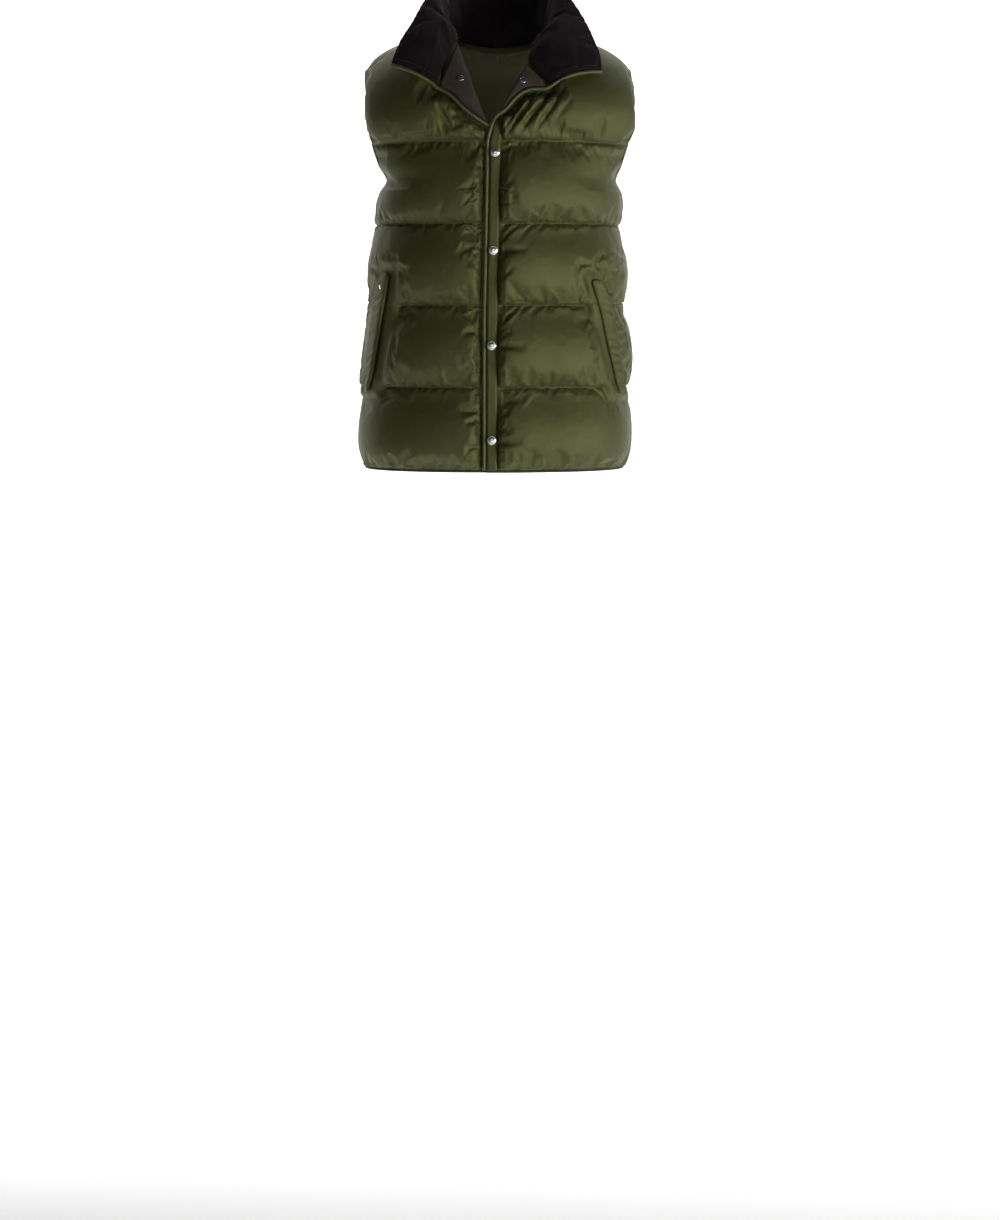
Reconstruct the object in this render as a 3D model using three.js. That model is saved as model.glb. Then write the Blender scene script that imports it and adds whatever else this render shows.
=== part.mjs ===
// A slim quilted vest, worn with the front snapped and the collar lying open.
// Millimetres. +X is the wearer's left, +Y the back, +Z up. The origin lies between the two shoulder
// points, at mid depth, where the wearer's shoulders hold the vest.
import * as THREE from "three";

// Driving sizes
const HEM_Z = -625;
const SECTION_POWER = 2.4; // squareness of the body's level sections
const WALL = 2.2; // cloth at the quilting seams
const GAP = 0.3; // between two pieces that are sewn together
const SHOULDER_RADIUS = { front: 115, back: 105 };
const SHOULDER_RUN = 180; // length given to the round from the shoulder seam to the upright wall
const LOFT = { front: 13, back: 13, yoke: 11, side: 8.5 }; // height of the filled channels
const LOFT_LOW = 1.75; // above 1 the fullest line of a channel lies below its middle
const LOFT_ROUND = 0.62; // below 1 a channel is fuller than a sine arch
const LAP_RAISE = 5.5; // the left front passes over the right one by this much
const PLACKET_HALF = 8;
const PLACKET_THICK = 2.4;
const UNDERLAP = 20; // from the placket's middle to the right front's hidden edge
const PIPING_RADIUS = 2.6;
const BINDING_RADIUS = 2.1;
const FACING_THICK = 2.4;
const SNAP_RADIUS = 6.75;

// Armhole seen from the side: an egg whose front is flatter than its back
const ARMHOLE = { top: -41, bottom: -222, front: 66, back: 84 };

// Half widths of the body at the quilting seams, for the wearer's right and left side
const SIDES = [
  { z: -625, right: 197, left: 186 },
  { z: -505, right: 196, left: 189 },
  { z: -389, right: 184, left: 184 },
  { z: -274, right: 179, left: 177 },
  { z: -222, right: 166, left: 174 },
];

// The armholes' edges as the front view shows them
const ARMHOLE_EDGE = [
  { z: -222, right: 166, left: 174 },
  { z: -201, right: 165, left: 173 },
  { z: -174, right: 174, left: 180 },
  { z: -151, right: 181, left: 187 },
  { z: -121, right: 187, left: 195 },
  { z: -76, right: 191, left: 196 },
  { z: -41, right: 194, left: 193 },
];

// Depth of the body before and behind its middle plane
const DEPTHS = [
  { z: -625, front: 129, back: 127 },
  { z: -505, front: 127, back: 121 },
  { z: -389, front: 127, back: 117 },
  { z: -300, front: 130, back: 123 },
  { z: -222, front: 132, back: 130 },
  { z: -151, front: 130, back: 132 },
  { z: -100, front: 126, back: 127 },
  { z: -40, front: 122, back: 118 },
  { z: 20, front: 120, back: 112 },
];

// Shoulder line
const SHOULDER = [
  { x: 0, z: 12 },
  { x: 75, z: 9 },
  { x: 111, z: 3 },
  { x: 145, z: -5 },
  { x: 170, z: -17 },
  { x: 187, z: -31 },
  { x: 198, z: -45 },
];

// Quilting seams: height at the middle of the front, of the back, and at the sides
const SEAMS = [
  { front: -146, back: -150, side: -155 },
  { front: -265, back: -269, side: -269 },
  { front: -384, back: -386, side: -382 },
  { front: -504, back: -504, side: -505 },
  { front: HEM_Z, back: HEM_Z, side: HEM_Z },
];

// Rows of each channel, as shares of its height; the first channel has rows for the foot of the armhole
const ROWS_BESIDE_ARMHOLE = [0, 0.08, 0.24, 0.38, 0.48, 0.54, 0.563, 0.7, 0.84, 0.95];
const ROWS_PLAIN = [0, 0.08, 0.24, 0.46, 0.66, 0.83, 0.95];
const YOKE_ROWS = [0, 0.06, 0.18, 0.34, 0.52, 0.7, 0.86, 1];

// Middle of the snapped placket, which leans a little
const PLACKET = [
  { z: -625, x: -9 },
  { z: -440, x: -9 },
  { z: -300, x: -6.5 },
  { z: -146, x: -4 },
  { z: -100, x: -4 },
];
const SNAP_HEIGHTS = [-163.7, -304.4, -442.6, -580.8];

// Columns of the fronts: places in millimetres from the edge, then shares of what is left of the row
const NEAR_COLUMNS = {
  left: [0, 8, 16, 21, 28, 38, 52],
  right: [0, 14, 26, 33, 39, 46, 58],
};
const FAR_COLUMNS = [0.14, 0.28, 0.42, 0.56, 0.7, 0.84, 0.94, 1];
const BACK_COLUMNS = [0, 0.1, 0.2, 0.3, 0.4, 0.5, 0.6, 0.7, 0.8, 0.88, 0.95, 1];

// Neck seam on the body, from the middle of the back to the roll line of a front
const NECK_BACK = [
  { share: 0, x: 0, y: 68 },
  { share: 0.35, x: 42, y: 59 },
  { share: 0.7, x: 68, y: 33 },
  { share: 1, x: 77, y: 0 },
];
const NECK_FRONT = [
  { share: 0, x: 60, y: -56 },
  { share: 0.5, x: 71, y: -29 },
  { share: 1, x: 77, y: 0 },
];
const NECK_SHARE = 0.36; // of the top edge of a panel, the rest is the shoulder seam

// Roll lines, where the open fronts turn out
const ROLL = {
  right: [
    { share: 0, x: 16, z: -146 },
    { share: 0.12, x: 3, z: -134 },
    { share: 0.24, x: -14, z: -121 },
    { share: 0.42, x: -26, z: -95 },
    { share: 0.62, x: -37, z: -66 },
    { share: 0.82, x: -48, z: -37 },
    { share: 1, x: -60, z: -3 },
  ],
  left: [
    { share: 0, x: -12, z: -146 },
    { share: 0.2, x: -5, z: -122 },
    { share: 0.4, x: 5, z: -101 },
    { share: 0.62, x: 21, z: -68 },
    { share: 0.82, x: 42, z: -36 },
    { share: 1, x: 60, z: -3 },
  ],
};

// Turned-out edges of the fronts, from the break of the roll to the collar's front end
const TURNED_EDGE = {
  right: [
    { share: 0, x: -20, z: -117 },
    { share: 0.3, x: -36, z: -106 },
    { share: 0.6, x: -55, z: -90 },
    { share: 0.8, x: -68, z: -77 },
    { share: 1, x: -84, z: -71 },
  ],
  left: [
    { share: 0, x: 8, z: -101 },
    { share: 0.3, x: 22, z: -85 },
    { share: 0.6, x: 36, z: -74 },
    { share: 0.8, x: 50, z: -70 },
    { share: 1, x: 71, z: -71 },
  ],
};
// Shares of the roll line between which a front is turned out
const ROLL_SPAN = { right: [0.26, 0.98], left: [0.44, 0.8] };

// Collar, one section a row, from the front end on the wearer's right round the neck to the left end:
// its seam, its free edge, and how far its middle is pushed off the straight line between them. A seam
// point that lies over a front has its lift off the body instead of a y.
const COLLAR = [
  { over: "right", lift: 7, seam: [-88, 0, -67], edge: [-146, -106, -36], arch: [2, -16, 7] },
  { over: "right", lift: 6, seam: [-75, 0, -30], edge: [-138, -90, -3], arch: [12, -15, 20] },
  { seam: [-61, -58, 6], edge: [-126, -60, 27], arch: [18, -9, 22] },
  { seam: [-71, -29, 12], edge: [-108, -24, 62], arch: [12, -6, 12] },
  { seam: [-77, 0, 13], edge: [-92, 6, 82], arch: [7, -3, 4] },
  { seam: [-68, 33, 8], edge: [-82, 38, 88], arch: [6, -6, 0] },
  { seam: [-42, 59, -1], edge: [-50, 66, 91], arch: [4, -8, 0] },
  { seam: [0, 68, -5.5], edge: [0, 77, 92], arch: [0, -9, 0] },
  { seam: [42, 59, -1], edge: [50, 66, 91], arch: [-4, -8, 0] },
  { seam: [68, 33, 8], edge: [83, 38, 88], arch: [-6, -6, 0] },
  { seam: [77, 0, 13], edge: [93, 6, 81], arch: [-7, -3, 4] },
  { seam: [71, -29, 12], edge: [112, -22, 58], arch: [-12, -6, 12] },
  { seam: [61, -58, 6], edge: [131, -52, 24], arch: [-20, -9, 22] },
  { over: "left", lift: 5, seam: [50, 0, -16], edge: [142, -76, -2], arch: [-22, -14, 24] },
  { over: "left", lift: 6, seam: [46, 0, -36], edge: [149, -92, -22], arch: [-20, -18, 22] },
  { over: "left", lift: 7, seam: [75, 0, -67], edge: [151, -103, -44], arch: [-6, -17, 12] },
];
const COLLAR_THICK = { shell: 3.2, facing: 2.2, puff: 2.5 };
const COLLAR_SEAM_SHARE = 0.4; // of the thickness is left at the seam
const COLLAR_STEPS = 2; // columns to a section
const COLLAR_ROWS = [0, 0.12, 0.3, 0.5, 0.7, 0.88, 1];

// Gathers and pulls in the fronts: soft ridges between two places seen from the front
const FOLDS = {
  left: [
    { x0: 88, z0: -58, x1: 60, z1: -122, wide: 7, high: 4.5 },
    { x0: 74, z0: -74, x1: 44, z1: -124, wide: 6, high: 4 },
    { x0: 58, z0: -76, x1: 28, z1: -128, wide: 6, high: 4.5 },
    { x0: 43, z0: -79, x1: 12, z1: -130, wide: 6, high: 4 },
    { x0: 28, z0: -86, x1: 3, z1: -127, wide: 5, high: 3.5 },
  ],
  right: [
    { x0: -88, z0: -82, x1: -60, z1: -122, wide: 9, high: 2.5 },
  ],
};

// Pocket welts: the middle line seen from the front, and the width along the cloth
const POCKET_LOFT = 8; // the quilting is held flat at this height under a welt
const POCKETS = {
  left: [
    { z: -347, x: 137, wide: 17 },
    { z: -392, x: 151, wide: 21 },
    { z: -440, x: 160, wide: 20 },
    { z: -484, x: 168, wide: 16 },
    { z: -514, x: 172, wide: 10 },
  ],
  right: [
    { z: -337, x: -157, wide: 20 },
    { z: -385, x: -166, wide: 27 },
    { z: -430, x: -173, wide: 28 },
    { z: -480, x: -180, wide: 24 },
    { z: -512, x: -184, wide: 13 },
  ],
};
const WELT_THICK = 2.6;
const POCKET_SNAP = { z: -358, radius: 4.5 };

const COLOURS = {
  cloth: 0x4a5132,
  clothDark: 0x434a2e,
  collarDark: 0x2a1f20,
  facing: 0x4a3d39,
  piping: 0x5b6346,
  binding: 0x4b3d30,
  metal: 0xc9cbcc,
};

// Smooth value of one column of a table at a place of its key column
function read(table, key, column, at) {
  const rows = table[0][key] < table[table.length - 1][key] ? table : [...table].reverse();
  const last = rows.length - 1;
  const slope = (i) => (rows[i + 1][column] - rows[i][column]) / (rows[i + 1][key] - rows[i][key]);
  if (at <= rows[0][key]) return rows[0][column] + slope(0) * (at - rows[0][key]);
  if (at >= rows[last][key]) return rows[last][column] + slope(last - 1) * (at - rows[last][key]);
  const i = rows.findIndex((row, n) => n < last && at <= rows[n + 1][key]);
  const tangent = (n) => {
    if (n === 0) return slope(0);
    if (n === last) return slope(last - 1);
    const before = slope(n - 1);
    const after = slope(n);
    return before * after <= 0 ? 0 : (2 * before * after) / (before + after);
  };
  const width = rows[i + 1][key] - rows[i][key];
  const t = (at - rows[i][key]) / width;
  return (
    rows[i][column] * (1 + 2 * t) * (1 - t) ** 2 +
    tangent(i) * width * t * (1 - t) ** 2 +
    rows[i + 1][column] * t * t * (3 - 2 * t) -
    tangent(i + 1) * width * t * t * (1 - t)
  );
}

const mix = (a, b, share) => a + (b - a) * share;
const held = (value, low, high) => Math.min(high, Math.max(low, value));
const smooth = (value) => held(value, 0, 1) ** 2 * (3 - 2 * held(value, 0, 1));
const signOf = (side) => (side === "left" ? 1 : -1);

// Height of the body's wall over its full depth at the round of the shoulder
function domeShare(face, x, z) {
  const drop = read(SHOULDER, "x", "z", Math.abs(x)) - z;
  const radius = SHOULDER_RADIUS[face];
  if (drop >= radius) return 1;
  return drop <= 0 ? 0 : Math.sqrt(1 - (1 - drop / radius) ** 2);
}

// How far before or behind the middle plane the armhole's edge runs at a height
function armholeReach(face, z) {
  const middle = (ARMHOLE.top + ARMHOLE.bottom) / 2;
  const half = (ARMHOLE.top - ARMHOLE.bottom) / 2;
  return ARMHOLE[face] * Math.sqrt(Math.max(0, 1 - ((z - middle) / half) ** 2));
}

// Half width of the body. Beside an armhole it is the width whose section meets the armhole's edge.
function halfWidth(face, side, z) {
  if (z <= ARMHOLE.bottom) return read(SIDES, "z", side, z);
  const level = Math.min(z, ARMHOLE.top - 19);
  const edge = read(ARMHOLE_EDGE, "z", side, level);
  const depth = read(DEPTHS, "z", face, level) * domeShare(face, edge, level);
  const rest = 1 - (armholeReach(face, level) / depth) ** SECTION_POWER;
  return edge / rest ** (1 / SECTION_POWER);
}

// A point of the body by its turn round the section, from 0 at the middle to a quarter turn at the side
function bodyPoint(face, side, turn, z) {
  const power = 2 / SECTION_POWER;
  const x = signOf(side) * halfWidth(face, side, z) * Math.sign(turn) * Math.abs(Math.sin(turn)) ** power;
  const depth = read(DEPTHS, "z", face, z) * Math.max(0, Math.cos(turn)) ** power * domeShare(face, x, z);
  return new THREE.Vector3(x, face === "front" ? -depth : depth, z);
}

function turnAt(face, side, x, z) {
  const share = (signOf(side) * x) / halfWidth(face, side, z);
  return Math.sign(share) * Math.asin(Math.min(1, Math.abs(share)) ** (SECTION_POWER / 2));
}

// The yoke is laid out by x and by the run down from the shoulder line
function runAt(face, x, z) {
  const drop = read(SHOULDER, "x", "z", Math.abs(x)) - z;
  const radius = SHOULDER_RADIUS[face];
  if (drop >= radius) return SHOULDER_RUN + drop - radius;
  return (SHOULDER_RUN * Math.acos(held(1 - drop / radius, -1, 1))) / (Math.PI / 2);
}

function yokePoint(face, side, x, run) {
  const ridge = read(SHOULDER, "x", "z", Math.abs(x));
  const radius = SHOULDER_RADIUS[face];
  const turn = (Math.min(run, SHOULDER_RUN) / SHOULDER_RUN) * (Math.PI / 2);
  const z = ridge - radius * (1 - Math.cos(turn)) - Math.max(0, run - SHOULDER_RUN);
  const across = Math.min(1, Math.abs(x) / halfWidth(face, side, z));
  const depth = read(DEPTHS, "z", face, z) * (1 - across ** SECTION_POWER) ** (1 / SECTION_POWER);
  const y = depth * Math.sin(turn);
  return new THREE.Vector3(x, face === "front" ? -y : y, z);
}

// A point of the neck seam as x and run
function neckPlace(face, side, share) {
  const table = face === "front" ? NECK_FRONT : NECK_BACK;
  const x = read(table, "share", "x", share);
  const y = Math.abs(read(table, "share", "y", share));
  let z = 0;
  for (let step = 0; step < 6; step += 1) {
    const across = (1 - (x / halfWidth(face, side, z)) ** SECTION_POWER) ** (1 / SECTION_POWER);
    const ratio = Math.min(1, y / (read(DEPTHS, "z", face, z) * across));
    z = read(SHOULDER, "x", "z", x) - SHOULDER_RADIUS[face] * (1 - Math.sqrt(1 - ratio * ratio));
  }
  return [signOf(side) * x, runAt(face, x, z)];
}

function seamHeight(index, face, turn) {
  const seam = SEAMS[index];
  return mix(seam[face], seam.side, Math.min(1, Math.abs(turn) / (Math.PI / 2)) ** 2);
}

// Where a row starts: the front edges, or the middle of the back
function rowStart(face, side, z) {
  if (face === "back") return 0;
  const middle = read(PLACKET, "z", "x", z);
  return side === "left" ? middle - PLACKET_HALF : middle + UNDERLAP;
}

function columnShares(face, side, length) {
  if (face === "back") return BACK_COLUMNS;
  const near = NEAR_COLUMNS[side].map((place) => place / length);
  const start = near[near.length - 1];
  return [...near, ...FAR_COLUMNS.map((share) => mix(start, 1, share))];
}

// One row of a half panel, at equal shares of its length: for each column the turn, height and length
function bodyRow(face, side, channel, share) {
  const heightAt = (turn) => mix(seamHeight(channel, face, turn), seamHeight(channel + 1, face, turn), share);
  const first = turnAt(face, side, rowStart(face, side, heightAt(0)), heightAt(0));
  let last = Math.PI / 2;
  const edgeZ = heightAt(last);
  if (edgeZ > ARMHOLE.bottom + 0.5) {
    const x = read(ARMHOLE_EDGE, "z", side, edgeZ);
    const depth = read(DEPTHS, "z", face, edgeZ) * domeShare(face, x, edgeZ);
    last = Math.acos((armholeReach(face, edgeZ) / depth) ** (SECTION_POWER / 2));
  }
  const steps = 80;
  const turns = [];
  const lengths = [0];
  for (let i = 0; i <= steps; i += 1) {
    turns.push(mix(first, last, i / steps));
    if (i === 0) continue;
    const here = bodyPoint(face, side, turns[i], heightAt(turns[i]));
    const before = bodyPoint(face, side, turns[i - 1], heightAt(turns[i - 1]));
    lengths.push(lengths[i - 1] + here.distanceTo(before));
  }
  const total = lengths[steps];
  return columnShares(face, side, total).map((column) => {
    const place = Math.min(column, 1) * total;
    let i = lengths.findIndex((length) => length >= place - 1e-9);
    i = Math.max(1, i);
    const t = (place - lengths[i - 1]) / (lengths[i] - lengths[i - 1]);
    const turn = mix(turns[i - 1], turns[i], t);
    return { turn, z: heightAt(turn), fromEdge: place, toEdge: total - place, side, share };
  });
}

// Loft of a channel at a share of its height
const channelArch = (share) => Math.sin(Math.PI * held(share, 0, 1) ** LOFT_LOW) ** LOFT_ROUND;

// Falls off to nothing within a distance of an edge
const besideEdge = (distance, reach) => Math.sqrt(1 - (1 - held(distance / reach, 0, 1)) ** 2);

// Height that the folds add at a place seen from the front
function foldHeight(side, x, z) {
  return FOLDS[side].reduce((sum, fold) => {
    const along = [fold.x1 - fold.x0, fold.z1 - fold.z0];
    const length = Math.hypot(...along);
    const share = ((x - fold.x0) * along[0] + (z - fold.z0) * along[1]) / length ** 2;
    const off = ((x - fold.x0) * along[1] - (z - fold.z0) * along[0]) / length;
    const taper = Math.sin(Math.PI * held(share * 0.94 + 0.03, 0, 1)) ** 0.7;
    return sum + fold.high * taper * Math.exp(-((off / (fold.wide * 0.5)) ** 2));
  }, 0);
}

// Share of the pocket's flattening at a place of a front
function pocketShare(side, x, z) {
  const pocket = POCKETS[side];
  const top = pocket[0].z;
  const foot = pocket[pocket.length - 1].z;
  const level = held(z, foot, top);
  const off = Math.abs(x - read(pocket, "z", "x", level));
  const half = read(pocket, "z", "wide", level) / 2;
  const beyond = Math.max(0, z - top, foot - z);
  return (1 - smooth((off - half - 6) / 14)) * (1 - smooth((beyond - 4) / 16));
}

// Height of the quilting over the wall at one place of a body row
function quiltHeight(face, place, x) {
  const { side, z, share, fromEdge, toEdge } = place;
  const beside = z > ARMHOLE.bottom ? besideEdge(toEdge, 26) : mix(0.55, 1, besideEdge(toEdge, 30));
  const loft = mix(LOFT[face], LOFT.side, smooth(1 - toEdge / 120));
  let edge = 1;
  if (face === "front") {
    const clear = side === "left" ? 2 * PLACKET_HALF + 1 : UNDERLAP + 18;
    edge = besideEdge(fromEdge - clear, 14);
  }
  let height = loft * channelArch(share) * edge * beside;
  if (face === "front") {
    height = mix(height, POCKET_LOFT, pocketShare(side, x, z));
  }
  return height;
}

// Extra room under the left front where it passes over the right one
function lapRaise(side, face, x, z) {
  if (face === "back" || side === "right") return 0;
  const middle = read(PLACKET, "z", "x", held(z, HEM_Z, SEAMS[0].front));
  return LAP_RAISE * (1 - smooth((x - middle - UNDERLAP - 3) / 26)) * smooth((-104 - z) / 26);
}

// Base points and heights of a half panel, from the top row down to the hem
function halfPanel(face, side) {
  const rows = [];
  const seamRow = bodyRow(face, side, 0, 0);
  const columns = seamRow.length;
  const total = seamRow[0].toEdge;
  const shares = seamRow.map((place) => place.fromEdge / total);
  const foot = seamRow.map((place) => {
    const point = bodyPoint(face, side, place.turn, place.z);
    return [point.x, runAt(face, point.x, point.z)];
  });
  const top = shares.map((share) => {
    if (share <= NECK_SHARE) return neckPlace(face, side, share / NECK_SHARE);
    const edge = read(ARMHOLE_EDGE, "z", side, ARMHOLE.top);
    const neck = NECK_BACK[NECK_BACK.length - 1].x;
    return [signOf(side) * mix(neck, edge, (share - NECK_SHARE) / (1 - NECK_SHARE)), 0];
  });
  const inner = (rise) => {
    if (face === "back") return [0, mix(foot[0][1], top[0][1], rise)];
    const x = read(ROLL[side], "share", "x", rise);
    return [x, runAt(face, x, read(ROLL[side], "share", "z", rise))];
  };
  const footZ = seamRow[columns - 1].z;
  const outer = (rise) => {
    const middle = (ARMHOLE.top + ARMHOLE.bottom) / 2;
    const half = (ARMHOLE.top - ARMHOLE.bottom) / 2;
    const start = Math.asin((footZ - middle) / half);
    const z = middle + half * Math.sin(mix(start, Math.PI / 2, rise));
    const x = signOf(side) * read(ARMHOLE_EDGE, "z", side, z);
    return [x, rise === 1 ? 0 : runAt(face, x, z)];
  };
  for (const rise of [...YOKE_ROWS].reverse().slice(0, -1)) {
    const innerPlace = inner(rise);
    const outerPlace = outer(rise);
    const place = shares.map((share, j) =>
      [0, 1].map(
        (axis) =>
          mix(foot[j][axis], top[j][axis], rise) +
          mix(innerPlace[axis], outerPlace[axis], share) -
          mix(
            mix(foot[0][axis], foot[columns - 1][axis], share),
            mix(top[0][axis], top[columns - 1][axis], share),
            rise,
          ),
      ),
    );
    const points = place.map(([x, run]) => yokePoint(face, side, x, Math.max(0, run)));
    const lengths = points.map((point, j) => (j ? point.distanceTo(points[j - 1]) : 0));
    const whole = lengths.reduce((sum, length) => sum + length, 0);
    let from = 0;
    rows.push(
      points.map((point, j) => {
        from += lengths[j];
        const clear = face === "front" ? turnedClear(side, point) : 1;
        const height =
          LOFT.yoke * channelArch(1 - rise) * besideEdge(whole - from, 28) * clear +
          (face === "front" ? foldHeight(side, point.x, point.z) * clear : 0);
        return { point, height, side };
      }),
    );
  }
  const channels = [ROWS_BESIDE_ARMHOLE, ROWS_PLAIN, ROWS_PLAIN, ROWS_PLAIN];
  channels.forEach((channelRows, channel) => {
    const shareList = channel === channels.length - 1 ? [...channelRows, 1] : channelRows;
    for (const share of shareList) {
      rows.push(
        bodyRow(face, side, channel, share).map((place) => {
          const point = bodyPoint(face, side, place.turn, place.z);
          return { point, height: quiltHeight(face, place, point.x), side };
        }),
      );
    }
  });
  for (const row of rows) {
    for (const place of row) {
      place.point.y -= lapRaise(side, face, place.point.x, place.point.z);
    }
  }
  return rows;
}

// Nothing is raised under the turned-out part of a front, and little beside it
function turnedClear(side, point) {
  const edge = TURNED_EDGE[side];
  const s = signOf(side);
  let nearest = Infinity;
  for (let i = 0; i <= 20; i += 1) {
    const x = read(edge, "share", "x", i / 20);
    const z = read(edge, "share", "z", i / 20);
    nearest = Math.min(nearest, Math.hypot(point.x - x, point.z - z));
  }
  const levelX = read(edge, "z", "x", held(point.z, edge[0].z, edge[edge.length - 2].z));
  const inside = s * (point.x - levelX) < 0 || (point.z > edge[edge.length - 1].z && s * point.x < 84);
  return inside ? 0 : besideEdge(nearest - 15, 16);
}

// Outward normals of a grid of points
function gridNormals(grid, outwardOf) {
  return grid.map((row, i) =>
    row.map((point, j) => {
      const up = grid[Math.max(0, i - 1)][j];
      const down = grid[Math.min(grid.length - 1, i + 1)][j];
      const before = row[Math.max(0, j - 1)];
      const after = row[Math.min(row.length - 1, j + 1)];
      const normal = new THREE.Vector3().crossVectors(
        new THREE.Vector3().subVectors(after, before),
        new THREE.Vector3().subVectors(down, up),
      );
      if (normal.dot(outwardOf(point)) < 0) normal.negate();
      return normal.normalize();
    }),
  );
}

const outwardFromBody = (point) => new THREE.Vector3(point.x, point.y * 1.6, Math.max(0, point.z + 110));

const moved = (points, normals, distance) =>
  points.map((row, i) =>
    row.map((point, j) => {
      const by = typeof distance === "function" ? distance(i, j) : distance;
      return point.clone().addScaledVector(normals[i][j], by);
    }),
  );

// Closed wall between two grids of the same size
function wallBetween(inside, outside) {
  const rows = inside.length;
  const columns = inside[0].length;
  const positions = [...inside.flat(), ...outside.flat()].flatMap((point) => point.toArray());
  const index = [];
  const half = rows * columns;
  const quad = (a, b, c, d) => index.push(a, b, c, a, c, d);
  for (let i = 0; i < rows - 1; i += 1) {
    for (let j = 0; j < columns - 1; j += 1) {
      const a = i * columns + j;
      quad(a, a + columns, a + columns + 1, a + 1);
      quad(half + a, half + a + 1, half + a + columns + 1, half + a + columns);
    }
  }
  for (let j = 0; j < columns - 1; j += 1) {
    const last = (rows - 1) * columns + j;
    quad(j, j + 1, half + j + 1, half + j);
    quad(last + 1, last, half + last, half + last + 1);
  }
  for (let i = 0; i < rows - 1; i += 1) {
    const a = i * columns;
    const b = a + columns - 1;
    quad(a + columns, a, half + a, half + a + columns);
    quad(b, b + columns, half + b + columns, half + b);
  }
  return facingOut(positions, index);
}

// A round or flat cord of cloth along a path, with its flat side along the given normals
function cordAlong(path, normals, acrossRadius, outRadius, closed, sides = 8) {
  const count = path.length;
  const positions = [];
  for (let i = 0; i < count; i += 1) {
    const before = path[closed ? (i + count - 1) % count : Math.max(0, i - 1)];
    const after = path[closed ? (i + 1) % count : Math.min(count - 1, i + 1)];
    const tangent = new THREE.Vector3().subVectors(after, before).normalize();
    const across = new THREE.Vector3().crossVectors(tangent, normals[i]).normalize();
    const out = new THREE.Vector3().crossVectors(across, tangent).normalize();
    for (let k = 0; k < sides; k += 1) {
      const angle = ((k + 0.5) / sides) * 2 * Math.PI;
      const point = path[i].clone();
      point.addScaledVector(across, acrossRadius * Math.cos(angle));
      point.addScaledVector(out, outRadius * Math.sin(angle));
      positions.push(...point.toArray());
    }
  }
  const index = [];
  const spans = closed ? count : count - 1;
  for (let i = 0; i < spans; i += 1) {
    for (let k = 0; k < sides; k += 1) {
      const a = i * sides + k;
      const b = i * sides + ((k + 1) % sides);
      const c = ((i + 1) % count) * sides + ((k + 1) % sides);
      const d = ((i + 1) % count) * sides + k;
      index.push(a, b, c, a, c, d);
    }
  }
  if (!closed) {
    const last = (count - 1) * sides;
    for (let k = 1; k < sides - 1; k += 1) {
      index.push(0, k + 1, k);
      index.push(last, last + k, last + k + 1);
    }
  }
  return facingOut(positions, index);
}

// The geometry with its faces turned so that the volume is positive
function facingOut(positions, index) {
  let volume = 0;
  const at = (n) => new THREE.Vector3().fromArray(positions, 3 * n);
  for (let i = 0; i < index.length; i += 3) {
    volume += at(index[i]).dot(at(index[i + 1]).cross(at(index[i + 2])));
  }
  const turned = volume < 0 ? index.slice().reverse() : index;
  const geometry = new THREE.BufferGeometry();
  geometry.setAttribute("position", new THREE.Float32BufferAttribute(positions, 3));
  geometry.setIndex(turned);
  geometry.computeVertexNormals();
  return geometry;
}

const vest = new THREE.Group();

function addPiece(name, geometry, colour, roughness = 0.55, metalness = 0) {
  const finish = new THREE.MeshStandardMaterial({ color: colour, roughness, metalness });
  const mesh = new THREE.Mesh(geometry, finish);
  mesh.name = name;
  vest.add(mesh);
  return mesh;
}

// Panels

// A panel's inner and outer points and normals, with its seam edges cleared by half a gap
function panelFrom(places, face) {
  const inside = places.map((row) => row.map((place) => place.point));
  const normals = gridNormals(inside, outwardFromBody);
  const last = inside[0].length - 1;
  const push = ((face === "front" ? -1 : 1) * GAP) / 2;
  const sideEdges = face === "front" ? [last] : [0, last];
  inside.forEach((row, i) => {
    sideEdges.forEach((j) => {
      const onSeam = Math.abs(row[j].y) < 2;
      if (onSeam) {
        normals[i][j].y = 0;
        normals[i][j].normalize();
        row[j].y = push;
      }
    });
  });
  inside[0].forEach((point, j) => {
    if (Math.abs(point.y) < 2) {
      normals[0][j].y = 0;
      normals[0][j].normalize();
      point.y = push;
    }
  });
  const outside = moved(inside, normals, (i, j) => WALL + places[i][j].height);
  return { inside, outside, normals };
}

const leftFront = panelFrom(halfPanel("front", "left"), "front");
const rightFront = panelFrom(halfPanel("front", "right"), "front");
const backRight = halfPanel("back", "right");
const backLeft = halfPanel("back", "left");
const back = panelFrom(
  backRight.map((row, i) => [...row.slice(1).reverse(), ...backLeft[i]]),
  "back",
);

addPiece("front_left", wallBetween(leftFront.inside, leftFront.outside), COLOURS.cloth);
addPiece("front_right", wallBetween(rightFront.inside, rightFront.outside), COLOURS.cloth);
addPiece("back", wallBetween(back.inside, back.outside), COLOURS.cloth);

// Placket strip, made from the left front's first columns, moved out
const seamRowIndex = YOKE_ROWS.length - 1;
const PLACKET_COLUMNS = 3;
const placketRows = leftFront.outside.slice(seamRowIndex - 1).map((row) => row.slice(0, PLACKET_COLUMNS));
const placketNormals = leftFront.normals.slice(seamRowIndex - 1).map((row) => row.slice(0, PLACKET_COLUMNS));
const placketPuff = (i, j) => PLACKET_THICK + GAP + (j === 1 ? 1.2 : 0);
const placketOutside = moved(placketRows, placketNormals, placketPuff);
addPiece(
  "front_placket",
  wallBetween(moved(placketRows, placketNormals, GAP), placketOutside),
  COLOURS.clothDark,
);

// Turned-out parts of the fronts

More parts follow.
